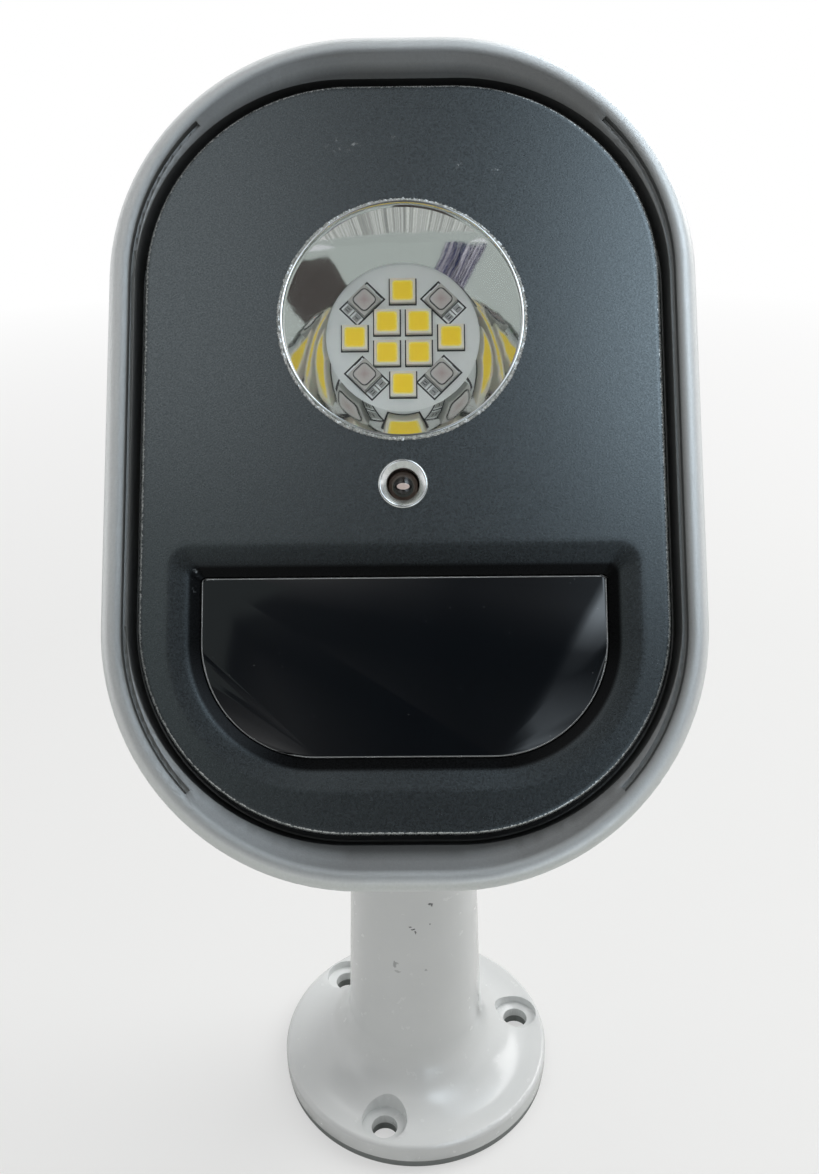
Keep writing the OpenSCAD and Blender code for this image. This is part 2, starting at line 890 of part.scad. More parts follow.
module white_places() {
  for (a = [0:90:270])
    rotate([0, 0, a])
      translate([outer_lamp, 0, 0])
        children();
  four(inner_lamp, inner_lamp)
    children();
}

module ir_places() {
  for (a = [45:90:315])
    rotate([0, 0, a])
      translate([ir_lamp * sqrt(2), 0, 0])
        children();
}

module white_leds() {
  color("#e9e4c8")
    translate([0, reflector_y, lamp_floor_z])
      white_places()
        translate([-lamp_side / 2, -lamp_side / 2, 0])
          difference() {
            cube([lamp_side, lamp_side, lamp_t]);
            translate([lamp_side * 0.09, lamp_side * 0.09, lamp_t - 0.15])
              cube([lamp_side * 0.82, lamp_side * 0.82, 1]);
          }
}

module led_phosphors() {
  color("#e8c02f")
    translate([0, reflector_y, lamp_floor_z + lamp_t - 0.15])
      white_places()
        linear_extrude(height = 0.13)
          round_rect(lamp_side * 0.81, lamp_side * 0.81, 0.35);
}

module ir_leds() {
  color("#c9c8c0")
    translate([0, reflector_y, lamp_floor_z])
      ir_places()
        translate([-ir_side / 2, -ir_side / 2, 0])
          cube([ir_side, ir_side, lamp_t]);
}

module ir_lenses() {
  color([0.75, 0.74, 0.72, 0.6])
    translate([0, reflector_y, lamp_floor_z + lamp_t])
      ir_places()
        linear_extrude(height = 0.25)
          round_rect(ir_side * 0.84, ir_side * 0.84, 0.5);
}

module led_screws() {
  color("#b9bcbd")
    translate([0, reflector_y, lamp_floor_z])
      for (s = [-1, 1])
        translate([s * lamp_screw_x, 0, 0])
          mirror([0, 0, 1])
            cap_screw(lamp_screw_r, lamp_board_t + screw_bite, 1.9 * lamp_screw_r, cap_t);
}

module heat_spreader() {
  top_t = screw_bite + bite_gap;
  color("#a9adae")
    difference() {
      union() {
        translate([0, reflector_y, lamp_board_z - top_t])
          cylinder(r = lamp_board_r, h = top_t);
        translate([0, stem_y, floor_z])
          cylinder(r = stem_r, h = lamp_board_z - floor_z - top_t / 2);
      }
      for (s = [-1, 1])
        translate([s * lamp_screw_x, reflector_y, lamp_board_z - top_t - 1])
          cylinder(r = lamp_screw_r + bore_gap, h = top_t + 2);
      translate([0, clevis_screw_y, floor_z - 1])
        cylinder(r = clevis_screw_r + bore_gap, h = 1 + clevis_bite + bite_gap);
    }
}

// Light sensor

module sensor_ring() {
  throat = dome_r + bore_gap;
  color("#dfe2e3")
    translate([0, sensor_y, 0])
      rotate_extrude()
        polygon([
          [throat, -panel_t],
          [ring_shank_r, -panel_t],
          [ring_shank_r, 0],
          [ring_r, 0],
          [ring_r, 0.15],
          [ring_r - 0.15, 0.3],
          [ring_r - 0.25, 0.3],
          [throat, -0.45]
        ]);
}

module light_sensor() {
  top = -0.1;
  color([0.13, 0.11, 0.12, 0.9])
    translate([0, sensor_y, 0]) {
      translate([0, 0, top - dome_len])
        cylinder(r = dome_r, h = dome_len - dome_r);
      translate([0, 0, top - dome_r])
        sphere(r = dome_r);
    }
}

module sensor_spacer() {
  top = -0.1 - dome_len;
  color("#1d1e20")
    translate([0, sensor_y, motion_z])
      cylinder(r = dome_r + 0.2, h = top - motion_z);
}

// Sensor window

module sensor_window() {
  color([0.03, 0.04, 0.05, 0.98])
    translate([0, 0, window_z - window_t])
      linear_extrude(height = window_t)
        d_shape(0);
}

module window_tape() {
  color("#1c1d1f")
    translate([0, 0, window_z - window_t - tape_t])
      linear_extrude(height = tape_t)
        difference() {
          d_shape(0);
          d_shape(-seal_w);
        }
}

// Motion board

module motion_board() {
  color("#1f5a3c")
    translate([0, 0, motion_z - board_t])
      difference() {
        translate([-motion_board_x, motion_board_low, 0])
          cube([2 * motion_board_x, motion_board_top - motion_board_low, board_t]);
        translate([0, 0, -1])
          at_posts(motion_post_x, motion_post_y)
            cylinder(r = motion_screw_r + bore_gap, h = board_t + 2);
      }
}

module motion_sensor() {
  side = motion_sensor_side;
  color("#c8cbcc")
    translate([-side / 2, window_mid - side / 2, motion_z])
      cube([side, side, motion_board_gap - 2.2]);
}

module motion_screws() {
  color("#b9bcbd")
    at_posts(motion_post_x, motion_post_y)
      translate([0, 0, motion_z - board_t])
        cap_screw(motion_screw_r, board_t + screw_bite, 1.8 * motion_screw_r, cap_t);
}

// Driver board

module driver_board() {
  color("#2a6b45")
    translate([0, 0, driver_z])
      difference() {
        translate([-driver_board_x, driver_board_low, 0])
          cube([2 * driver_board_x, driver_board_top - driver_board_low, board_t]);
        translate([0, 0, -1])
          at_posts(pillar_x, pillar_y)
            cylinder(r = board_screw_r + bore_gap, h = board_t + 2);
      }
}

module board_pillars() {
  color("#c9b06a")
    translate([0, 0, floor_z])
      at_posts(pillar_x, pillar_y)
        difference() {
          cylinder(r = pillar_r, h = pillar_len, $fn = 6);
          translate([0, 0, pillar_len - screw_bite - bite_gap])
            cylinder(r = board_screw_r + bore_gap, h = screw_bite + bite_gap + 1);
        }
}

module board_screws() {
  color("#b9bcbd")
    at_posts(pillar_x, pillar_y)
      translate([0, 0, driver_front_z])
        mirror([0, 0, 1])
          cap_screw(board_screw_r, board_t + screw_bite, 1.8 * board_screw_r, cap_t);
}

// A block that stands on the driver board, centred on a place
module board_block(at, size) {
  translate([at[0] - size[0] / 2, at[1] - size[1] / 2, driver_front_z])
    cube([size[0], size[1], size[2]]);
}

module coil_core() {
  window_w = core_size[0] - 3.6;
  color("#3a3b3d")
    difference() {
      board_block(core_at, [core_size[0], core_size[1], part_h]);
      translate([0, 0, core_plate])
        board_block(core_at, [window_w, core_size[1] + 2, part_h - 2 * core_plate]);
    }
}

module driver_coil() {
  color("#b4642f")
    translate([core_at[0], core_at[1], driver_front_z + core_plate + fit_gap])
      cylinder(r = 4.8, h = part_h - 2 * (core_plate + fit_gap));
}

module driver_capacitors() {
  color("#2b3242")
    for (at = capacitor_places)
      translate([at[0], at[1], driver_front_z])
        cylinder(r = capacitor_r, h = part_h);
}

module driver_chip() {
  color("#232427")
    board_block(chip_at, chip_size);
}

module terminal_block() {
  color("#3d7a54")
    difference() {
      board_block(terminal_at, [terminal_size[0], terminal_size[1], part_h]);
      for (s = [-1, 1])
        translate([terminal_at[0] + s * terminal_size[0] / 4, terminal_at[1], driver_front_z + part_h - 3])
          cylinder(r = 1.5, h = 4);
    }
}

// Cable gland

module cable_gland() {
  color("#2c2e30")
    translate([0, gland_y, 0])
      difference() {
        union() {
          translate([0, 0, back_z - gland_hex_t])
            cylinder(d = gland_flat / cos(30), h = gland_hex_t, $fn = 6);
          translate([0, 0, back_z - gland_hex_t - gland_neck_len])
            cylinder(r = gland_neck_r, h = gland_neck_len + eps);
          translate([0, 0, back_z - eps])
            cylinder(r = gland_r, h = wall + gland_nut_t + 1);
        }
        translate([0, 0, back_z - 20])
          cylinder(r = gland_bore_r, h = 40);
      }
}

module gland_cap() {
  hex_d = gland_flat - 1;
  hex_t = gland_cap_len / 2;
  color("#2c2e30")
    translate([0, gland_y, back_z - gland_hex_t - fit_gap])
      mirror([0, 0, 1])
        difference() {
          union() {
            cylinder(d = hex_d / cos(30), h = hex_t, $fn = 6);
            translate([0, 0, hex_t])
              cylinder(d1 = hex_d - 0.2, d2 = hex_d * 0.7, h = gland_cap_len - hex_t);
          }
          translate([0, 0, -1])
            cylinder(r = gland_neck_r + bore_gap, h = gland_neck_len + 1);
          cylinder(r = gland_bore_r, h = gland_cap_len + 1);
        }
}

module gland_nut() {
  color("#2c2e30")
    translate([0, gland_y, floor_z])
      difference() {
        cylinder(d = gland_flat / cos(30), h = gland_nut_t, $fn = 6);
        translate([0, 0, -1])
          cylinder(r = gland_r + bore_gap, h = gland_nut_t + 2);
      }
}

bracket_arm();
base_pad();
swivel_screw();
swivel_washer();
swivel_knuckle();
tilt_bolt();
tilt_nut();
tilt_washers();
at_head() head_clevis();
at_head() clevis_screws();
at_head() front_frame();
at_head() front_panel();
at_head() panel_seal();
at_head() rear_cover();
at_head() cover_seal();
at_head() cover_screws();
at_head() reflector();
at_head() cover_lens();
at_head() led_board();
at_head() white_leds();
at_head() led_phosphors();
at_head() ir_leds();
at_head() ir_lenses();
at_head() led_screws();
at_head() heat_spreader();
at_head() sensor_ring();
at_head() light_sensor();
at_head() sensor_spacer();
at_head() sensor_window();
at_head() window_tape();
at_head() motion_board();
at_head() motion_sensor();
at_head() motion_screws();
at_head() driver_board();
at_head() board_pillars();
at_head() board_screws();
at_head() driver_coil();
at_head() coil_core();
at_head() driver_capacitors();
at_head() driver_chip();
at_head() terminal_block();
at_head() cable_gland();
at_head() gland_cap();
at_head() gland_nut();
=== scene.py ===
import math
import bmesh
import bpy
from mathutils import Matrix, Vector, noise


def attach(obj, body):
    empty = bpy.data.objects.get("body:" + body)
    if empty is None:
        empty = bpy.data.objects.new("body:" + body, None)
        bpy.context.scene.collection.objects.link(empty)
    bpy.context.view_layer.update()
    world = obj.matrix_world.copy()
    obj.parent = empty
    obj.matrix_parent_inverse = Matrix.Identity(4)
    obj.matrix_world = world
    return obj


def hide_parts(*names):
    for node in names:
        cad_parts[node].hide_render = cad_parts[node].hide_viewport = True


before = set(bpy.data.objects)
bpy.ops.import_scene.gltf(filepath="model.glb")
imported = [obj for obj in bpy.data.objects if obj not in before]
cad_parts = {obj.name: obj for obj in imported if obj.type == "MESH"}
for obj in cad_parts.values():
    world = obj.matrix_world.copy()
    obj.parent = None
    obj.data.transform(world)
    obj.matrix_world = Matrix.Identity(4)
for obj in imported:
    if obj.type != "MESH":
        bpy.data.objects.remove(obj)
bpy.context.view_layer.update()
mm = 0.001

# where the head's own drawing frame lies: middle of the panel's face, z out of the face
headStand = {"pivotHeight": 118, "pivotBack": 56, "faceRise": 33}
headMatrix = (
    Matrix.Translation((0, 0, headStand["pivotHeight"] * mm))
    @ Matrix.Rotation(math.radians(90 - headStand["faceRise"]), 4, "X")
    @ Matrix.Translation((0, 0, headStand["pivotBack"] * mm))
)
headInverse = headMatrix.inverted()


def addObject(name, data):
    made = bpy.data.objects.new(name, data)
    bpy.context.collection.objects.link(made)
    return made


# Camera: the photograph's own viewpoint, fitted to the head's outline, the cup and the flange
photoCamera = {
    "lens": 33.73, "sensor": 36, "clip": (0.004, 60), "place": (1.872, -162.204, 188.179),
    "elevation": 26.36, "azimuth": -0.67, "roll": 0.79,
}


def makeCamera(settings):
    data = bpy.data.cameras.new("photoCamera")
    data.lens = settings["lens"]
    data.sensor_width = settings["sensor"]
    data.clip_start, data.clip_end = settings["clip"]
    camera = addObject("photoCamera", data)
    turns = (
        Matrix.Rotation(math.radians(settings["roll"]), 3, "Z")
        @ Matrix.Rotation(math.radians(settings["elevation"]), 3, "X")
        @ Matrix(((1, 0, 0), (0, 0, 1), (0, -1, 0)))
        @ Matrix.Rotation(math.radians(settings["azimuth"]), 3, "Z")
    )
    camera.matrix_world = Matrix.Translation(Vector(settings["place"]) * mm) @ turns.transposed().to_4x4()
    bpy.context.scene.camera = camera


makeCamera(photoCamera)
print("camera set")


# Colours and node helpers
def hexColour(code):
    parts = [int(code[i:i + 2], 16) / 255 for i in (1, 3, 5)]
    return tuple(c / 12.92 if c <= 0.04045 else ((c + 0.055) / 1.055) ** 2.4 for c in parts) + (1.0,)


def fillNode(tree, node, given):
    # the node's own settings, and its inputs by name or number: a plain value is set, a socket is linked,
    # a node is linked by its first output, and a list is linked one after the other
    for key, value in given.items():
        for source in value if isinstance(value, list) else [value]:
            if isinstance(source, bpy.types.Node):
                source = next(socket for socket in source.outputs if socket.enabled)
            if isinstance(source, bpy.types.NodeSocket):
                tree.links.new(source, node.inputs[key])
            elif isinstance(key, str) and hasattr(node, key):
                setattr(node, key, source)
            else:
                node.inputs[key].default_value = source
    return node


def addNode(tree, kind, given={}):
    return fillNode(tree, tree.nodes.new(kind), given)


def setStops(ramp, stops):
    # stops of a colour ramp in order: position, linear colour
    elements = ramp.color_ramp.elements
    for i in (0, -1):
        elements[i].position, elements[i].color = stops[i]
    for position, colour in stops[1:-1]:
        elements.new(position).color = colour


def perMm(size):
    return 1000 / size      # noise scale for features of that many millimetres


# Materials, each named for what the real finish is
finishes = {}


def newMaterial(name, colour, roughness, metallic=0.0, sockets={}):
    material = finishes[name] = bpy.data.materials.new(name)
    material.use_nodes = True
    tree = material.node_tree
    shader = tree.nodes["Principled BSDF"]
    fillNode(tree, shader, {
        "Base Color": hexColour(colour), "Metallic": metallic, "Roughness": roughness, **sockets})
    return tree, shader, addNode(tree, "ShaderNodeTexCoord").outputs["Object"]


def makeFinish(name, look):
    # tone: two colours that a soft patch noise runs between; grain: fine relief; sheen: roughness range
    first, second = look["tone"]
    smooth, rough = look["sheen"]
    tree, shader, place = newMaterial(name, first, smooth, look.get("metallic", 0.0), look.get("sockets", {}))
    patches = addNode(tree, "ShaderNodeTexNoise", {
        "Vector": place, "Scale": perMm(look["patch"]), "Detail": 4.0, "Roughness": 0.6})
    tone = addNode(tree, "ShaderNodeMix", {
        "data_type": "RGBA", 0: patches, 6: hexColour(first), 7: hexColour(second)})
    grain = addNode(tree, "ShaderNodeTexNoise", {
        "Vector": place, "Scale": perMm(look["grain"]), "Detail": 3.0, "Roughness": 0.65})
    sheen = addNode(tree, "ShaderNodeMapRange", {
        "Value": grain, "From Min": 0.3, "From Max": 0.7, "To Min": smooth, "To Max": rough})
    bump = addNode(tree, "ShaderNodeBump", {
        "Height": grain, "Strength": look.get("strength", 0.5), "Distance": look["relief"] * mm})
    fillNode(tree, shader, {"Base Color": tone, "Roughness": sheen, "Normal": bump})
    return tree, shader, place, tone


finishLooks = {
    # soft moulded pad, grey and dull
    "rubberPad": {"tone": ("#8B8F8D", "#7C807E"), "patch": 6, "grain": 0.5, "relief": 0.05,
                  "sheen": (0.72, 0.85)},
    # black sealing rubber, dull with a faint bloom
    "sealRubber": {"tone": ("#1C1D1F", "#26282A"), "patch": 3, "grain": 0.4, "relief": 0.04,
                   "sheen": (0.6, 0.75)},
    # zinc plated steel of the bolts and screws: bright, faintly mottled
    "platedSteel": {"tone": ("#C3C6C7", "#AEB2B4"), "patch": 1.5, "grain": 0.2, "relief": 0.01,
                    "metallic": 1.0, "sheen": (0.22, 0.36)},
    # nylon washers: milky, slightly waxy
    "nylonWasher": {"tone": ("#D8D6CC", "#CFCCC0"), "patch": 4, "grain": 0.4, "relief": 0.01,
                    "sheen": (0.38, 0.48),
                    "sockets": {"IOR": 1.53, "Subsurface Weight": 0.1, "Subsurface Scale": 0.001}},
    # die-cast zinc of the swivel, lacquered in a pale silver
    "silverLacquer": {"tone": ("#C6C9CA", "#B5B9BB"), "patch": 5, "grain": 0.3, "relief": 0.03,
                      "metallic": 0.75, "sheen": (0.36, 0.48)},
    # the frame's lacquer on the rear casting, a little duller and coarser, as left by the mould
    "rearSilverCasting": {"tone": ("#BFC2C3", "#B0B4B5"), "patch": 4, "grain": 0.5, "relief": 0.05,
                          "metallic": 0.75, "sheen": (0.38, 0.52), "strength": 0.6},
    # torn bare metal round the panel's hole: bright crumbs with dark gaps
    "tornBareMetal": {"tone": ("#FFFFFF", "#A3A7A6"), "patch": 0.22, "grain": 0.12, "relief": 0.04,
                      "metallic": 0.9, "sheen": (0.15, 0.4), "strength": 0.9},
    # bare aluminium of the heat spreader, turned
    "turnedAluminium": {"tone": ("#B4B7B8", "#A3A7A9"), "patch": 2, "grain": 0.25, "relief": 0.015,
                        "metallic": 1.0, "sheen": (0.28, 0.4)},
    # black moulded ABS of the small inner pieces
    "blackAbs": {"tone": ("#1D1E20", "#222426"), "patch": 3, "grain": 0.35, "relief": 0.02,
                 "sheen": (0.42, 0.55)},
    # black nylon of the gland: a little softer and greyer than the ABS
    "blackNylon": {"tone": ("#26282A", "#303234"), "patch": 4, "grain": 0.3, "relief": 0.03,
                   "sheen": (0.4, 0.52)},
    # green solder mask over glass-fibre board
    "greenBoard": {"tone": ("#1F5A3C", "#23653F"), "patch": 3, "grain": 0.3, "relief": 0.01,
                   "sheen": (0.3, 0.4)},
    # screening can of the motion sensor, tinned steel
    "tinnedCan": {"tone": ("#C8CBCC", "#BCC0C1"), "patch": 2, "grain": 0.3, "relief": 0.01, "metallic": 1.0,
                  "sheen": (0.25, 0.36)},
    # brass of the pillars
    "turnedBrass": {"tone": ("#C9B06A", "#BFA45C"), "patch": 2, "grain": 0.2, "relief": 0.01, "metallic": 1.0,
                    "sheen": (0.25, 0.35)},
    # enamelled copper wire of the coil
    "copperWire": {"tone": ("#B4642F", "#A85A28"), "patch": 1, "grain": 0.2, "relief": 0.005, "metallic": 0.9,
                   "sheen": (0.22, 0.32)},
    # sintered ferrite core: dark, dull, finely porous
    "darkFerrite": {"tone": ("#3A3B3D", "#323335"), "patch": 2, "grain": 0.2, "relief": 0.02,
                    "sheen": (0.55, 0.7)},
    # shrink sleeve of the capacitors, dark blue PVC
    "blueSleeve": {"tone": ("#2B3242", "#30384A"), "patch": 3, "grain": 0.4, "relief": 0.01,
                   "sheen": (0.3, 0.4)},
    # epoxy of the driver chip
    "chipEpoxy": {"tone": ("#232427", "#1E1F21"), "patch": 1, "grain": 0.12, "relief": 0.01,
                  "sheen": (0.5, 0.6)},
    # green polyamide of the terminal block
    "greenPolyamide": {"tone": ("#3D7A54", "#376E4C"), "patch": 3, "grain": 0.3, "relief": 0.02,
                       "sheen": (0.38, 0.48)},
    # white solder mask of the lamp board, cool white with the weave of the board just showing
    "whiteSolderMask": {"tone": ("#EDF3F1", "#DFE6E4"), "patch": 1.1, "grain": 0.6, "relief": 0.01,
                        "sheen": (0.3, 0.42), "sockets": {"IOR": 1.5}},
    # outlines printed on it
    "darkBoardInk": {"tone": ("#26292A", "#333638"), "patch": 0.5, "grain": 0.2, "relief": 0.005,
                     "sheen": (0.5, 0.6)},
    # tinned copper pads
    "tinnedPad": {"tone": ("#B9BBB8", "#8E918F"), "patch": 0.4, "grain": 0.2, "relief": 0.02, "metallic": 0.8,
                  "sheen": (0.25, 0.4)},
    # white moulded housing of a lamp package
    "lampHousingPlastic": {"tone": ("#EFEBDD", "#E6E1D0"), "patch": 0.8, "grain": 0.3, "relief": 0.005,
                           "sheen": (0.35, 0.45),
                           "sockets": {"IOR": 1.53, "Subsurface Weight": 0.15, "Subsurface Scale": 0.0006}},
    # pale moulded body of an infrared lamp
    "paleLampBody": {"tone": ("#C4C5BE", "#B7B9B3"), "patch": 0.6, "grain": 0.3, "relief": 0.01,
                     "sheen": (0.3, 0.42)},
    # dark lead frame inside the light sensor's dome
    "darkLeadFrame": {"tone": ("#6B625B", "#857A71"), "patch": 0.8, "grain": 0.3, "relief": 0.01,
                      "sheen": (0.3, 0.5)},
    # pale chip in its middle, with a painted glow so that it shows bright through the dome
    "paleSensorChip": {"tone": ("#FFF8F8", "#C9BEC0"), "patch": 0.3, "grain": 0.12, "relief": 0.01,
                       "sheen": (0.3, 0.5),
                       "sockets": {"Emission Color": (1, 0.95, 0.95, 1), "Emission Strength": 0.45}},
    # turned and bright-dipped aluminium ring round the dome, with a satin glow
    "brightDippedRing": {"tone": ("#F1F3F3", "#DDE0E1"), "patch": 0.5, "grain": 0.3, "relief": 0.004,
                         "metallic": 1.0, "sheen": (0.16, 0.24), "strength": 0.3},
    # sawn edge of the window's acrylic, with a painted highlight: a pale tone and a faint glow make a fine
    # pale line
    "sawnAcrylicEdge": {"tone": ("#A4A9AA", "#4E5254"), "patch": 2.5, "grain": 0.2, "relief": 0.01,
                        "sheen": (0.3, 0.45),
                        "sockets": {"Emission Color": (1, 1, 1, 1), "Emission Strength": 0.03}},
}
for name, look in finishLooks.items():
    makeFinish(name, look)


def blendSpots(tree, place, spots, edge):
    # spots: middle in metres, half sizes in millimetres, strength; edge: where a spot starts and is full
    total = 0.0
    for middle, half, strength in spots:
        offset = addNode(tree, "ShaderNodeVectorMath", {"operation": "SUBTRACT", 0: place, 1: middle})
        shape = addNode(tree, "ShaderNodeVectorMath", {
            "operation": "MULTIPLY", 0: offset, 1: tuple(1 / (size * mm) for size in half)})
        far = addNode(tree, "ShaderNodeVectorMath", {"operation": "LENGTH", 0: shape})
        spot = addNode(tree, "ShaderNodeMapRange", {
            "Value": far, "From Min": edge[0], "From Max": edge[1], "To Min": 0.0, "To Max": strength})
        total = addNode(tree, "ShaderNodeMath", {"operation": "MAXIMUM", 0: total, 1: spot})
    return total


# White gloss enamel of the arm. The marks are chips and scuffs through the coat:
# angle round the tube from the front, height, half width round, half height, strength
armEnamel = {
    "look": {"tone": ("#E4E6E5", "#DADDDD"), "patch": 14, "grain": 2.2, "relief": 0.02, "sheen": (0.2, 0.28),
             "strength": 0.35, "sockets": {"IOR": 1.52, "Coat Weight": 0.35, "Coat Roughness": 0.08}},
    "marks": [
        (14.9, 50.2, 0.55, 0.18, 0.9), (16.5, 49.9, 0.2, 0.35, 0.8), (14.6, 45.7, 0.16, 0.16, 0.8),
        (-3.0, 45.3, 0.35, 0.14, 0.9), (-0.5, 44.8, 0.4, 0.16, 1.0), (1.6, 44.1, 0.16, 0.4, 0.9),
        (-17.0, 36.2, 0.3, 0.9, 0.45), (-15.5, 36.6, 0.55, 0.25, 0.35), (-14.5, 34.6, 0.7, 0.25, 0.3),
        (10.1, 35.1, 0.2, 0.25, 0.4), (74.6, 19.0, 0.15, 1.0, 0.6), (75.2, 16.2, 0.15, 1.2, 0.7),
    ],
    "tubeRadius": (13.7, 0.0389),    # radius at the foot and how much it falls per millimetre
    "chipColour": "#4A4C4D", "markEdge": (1.15, 0.75),
    "ragged": (0.5, 0.35),           # how fine the marks' edges are torn, and how far
}


def makeArmEnamel(settings):
    tree, shader, place, tone = makeFinish("whiteEnamel", settings["look"])
    fine, reach = settings["ragged"]
    wobble = addNode(tree, "ShaderNodeTexNoise", {"Vector": place, "Scale": perMm(fine), "Detail": 3.0})
    spread = addNode(tree, "ShaderNodeVectorMath", {
        "operation": "MULTIPLY_ADD", 0: wobble.outputs["Color"], 1: (2 * reach * mm,) * 3,
        2: (-reach * mm,) * 3})
    shifted = addNode(tree, "ShaderNodeVectorMath", {"operation": "ADD", 0: place, 1: spread})
    footRadius, fall = settings["tubeRadius"]
    spots = []
    for angle, height, wide, high, strength in settings["marks"]:
        turn, radius = math.radians(angle), (footRadius - fall * height) * mm
        middle = (radius * math.sin(turn), -radius * math.cos(turn), height * mm)
        spots.append((middle, (wide, wide, high), strength))
    chipped = addNode(tree, "ShaderNodeMix", {
        "data_type": "RGBA", 0: blendSpots(tree, shifted, spots, settings["markEdge"]), 6: tone,
        7: hexColour(settings["chipColour"])})
    fillNode(tree, shader, {"Base Color": chipped})


makeArmEnamel(armEnamel)


# Satin silver lacquer on the die-cast frame: bright, with a fine metallic grain that glints. Painted shade
# greys its inner slope towards the gap. outline: half sizes and corner; slopes: distances in from it, and how
# dark the painted shade gets
castLook = {
    "tone": ("#E2E4E4", "#D2D5D5"), "patch": 0.35, "grain": 0.2, "relief": 0.04, "metallic": 0.85,
    "sheen": (0.4, 0.54), "strength": 0.6, "outline": (32.9, 47.95, 28.25),
    "shadedSlopes": [(1.05, 2.4, 0.3), (3.2, 4.3, 0.4)],
}


def makeCastSilver(look):
    tree, shader, place, tone = makeFinish("satinSilverCasting", look)
    halfWide, halfHigh, corner = [size * mm for size in look["outline"]]
    beyond = []      # how far a point lies beyond the middles of the corner arcs, across and upward
    for row, flat in ((headInverse[0], halfWide - corner), (headInverse[1], halfHigh - corner)):
        along = addNode(tree, "ShaderNodeVectorMath", {
            "operation": "DOT_PRODUCT", 0: place, 1: tuple(row)[:3]})
        moved = addNode(tree, "ShaderNodeMath", {"operation": "ADD", 0: along, 1: row[3]})
        size = addNode(tree, "ShaderNodeMath", {"operation": "ABSOLUTE", 0: moved})
        over = addNode(tree, "ShaderNodeMath", {"operation": "SUBTRACT", 0: size, 1: flat})
        beyond.append(addNode(tree, "ShaderNodeMath", {"operation": "MAXIMUM", 0: over, 1: 0.0}))
    reach = addNode(tree, "ShaderNodeCombineXYZ", {"X": beyond[0], "Y": beyond[1]})
    out = addNode(tree, "ShaderNodeVectorMath", {"operation": "LENGTH", 0: reach})
    # painted shade: the inner slope darkens in two steps towards the gap, where it is shaded and reflects the
    # dark panel
    for near, far, dark in look["shadedSlopes"]:
        share = addNode(tree, "ShaderNodeMapRange", {
            "Value": out, "From Min": corner - near * mm, "From Max": corner - far * mm, "To Min": 1.0,
            "To Max": dark})
        tone = addNode(tree, "ShaderNodeVectorMath", {"operation": "SCALE", 0: tone, "Scale": share})
    fillNode(tree, shader, {"Base Color": tone})


makeCastSilver(castLook)


# Dark metallic paint of the panel: a fine wrinkle grain that sparkles where light grazes it. A stored
# attribute paints shade down the dish, darkest on its steep bevel round the window; edgeWear bares it along
# the edges, and a few scuffs lie near the top
panelCoat = {
    "look": {"tone": ("#474D50", "#5E6467"), "patch": 0.3, "grain": 0.22, "relief": 0.016,
             "sheen": (0.2, 0.34), "strength": 0.45, "metallic": 0.9},
    # colour of the painted shade deepest in the dish, then of the bare metal
    "recess": "#0F1011", "bare": "#D9DCDC",
    # size of the chips on the edges, the level at which they start and are full, and how bare they get,
    # then the same for the specks in the scuffs
    "wear": (0.3, 1.32, 1.42, 0.85), "specks": (0.55, 0.56, 0.68, 0.55),
    "scuffs": [(-6.6, 34.9, 2.0, 0.9), (6.2, 32.4, 1.3, 0.7), (11.0, 31.6, 0.9, 0.6), (-1.0, 35.6, 0.8, 0.5),
               (-22.8, -14.6, 0.4, 1.5)],
    "scuffEdge": (1.2, 0.5),
}


def makePanelCoat(settings):
    tree, shader, place, tone = makeFinish("texturedPanelCoat", settings["look"])
    # painted shade: darker down the dish towards the window, deepest on its steep bevel
    recess = addNode(tree, "ShaderNodeAttribute", {"attribute_name": "recess"})
    deep = addNode(tree, "ShaderNodeMix", {
        "data_type": "RGBA", 0: recess.outputs["Fac"], 6: tone, 7: hexColour(settings["recess"])})
    # bare metal where the coat has chipped off an edge
    size, start, full, most = settings["wear"]
    wear = addNode(tree, "ShaderNodeAttribute", {"attribute_name": "edgeWear"})
    chips = addNode(tree, "ShaderNodeTexNoise", {
        "Vector": place, "Scale": perMm(size), "Detail": 3.0, "Roughness": 0.7})
    level = addNode(tree, "ShaderNodeMath", {"operation": "ADD", 0: wear.outputs["Fac"], 1: chips})
    worn = addNode(tree, "ShaderNodeMapRange", {
        "Value": level, "From Min": start, "From Max": full, "To Min": 0.0, "To Max": most})
    # scuffs: pale specks inside soft patches on the face
    size, start, full, most = settings["specks"]
    specks = addNode(tree, "ShaderNodeTexNoise", {
        "Vector": place, "Scale": perMm(size), "Detail": 5.0, "Roughness": 0.75})
    sparse = addNode(tree, "ShaderNodeMapRange", {
        "Value": specks, "From Min": start, "From Max": full, "To Min": 0.0, "To Max": most})
    spots = [(headMatrix @ Vector((x * mm, y * mm, 0)), (wide, high, high), 1.0)
             for x, y, wide, high in settings["scuffs"]]
    zone = blendSpots(tree, place, spots, settings["scuffEdge"])
    scuff = addNode(tree, "ShaderNodeMath", {"operation": "MULTIPLY", 0: zone, 1: sparse})
    bare = addNode(tree, "ShaderNodeMath", {"operation": "MAXIMUM", 0: scuff, 1: worn})
    coated = addNode(tree, "ShaderNodeMix", {
        "data_type": "RGBA", 0: bare, 6: deep, 7: hexColour(settings["bare"])})
    fillNode(tree, shader, {"Base Color": coated})


makePanelCoat(panelCoat)


# Smooth finishes under a haze of dust: size and detail of the dust, the noise it shows in, roughness it gives
hazedLooks = {
    # vacuum-metallised plastic of the cup: a mirror with the faint waviness of its moulding,
    # the wave's size, depth and strength
    "metallisedCup": {"colour": "#E9EBEC", "metallic": 1.0, "roughness": 0.035, "dust": (0.25, 2.0),
                      "shows": (0.5, 0.75), "haze": (0.03, 0.12), "wave": (5, 0.06, 0.35)},
    # clear polycarbonate over the cup: all but invisible, a faint sheen only
    "clearPolycarbonate": {"colour": "#3A3D3F", "roughness": 0.04, "dust": (0.3, 3.0), "shows": (0.4, 0.8),
                           "haze": (0.03, 0.15), "sockets": {"IOR": 1.58, "Alpha": 0.05}},
}


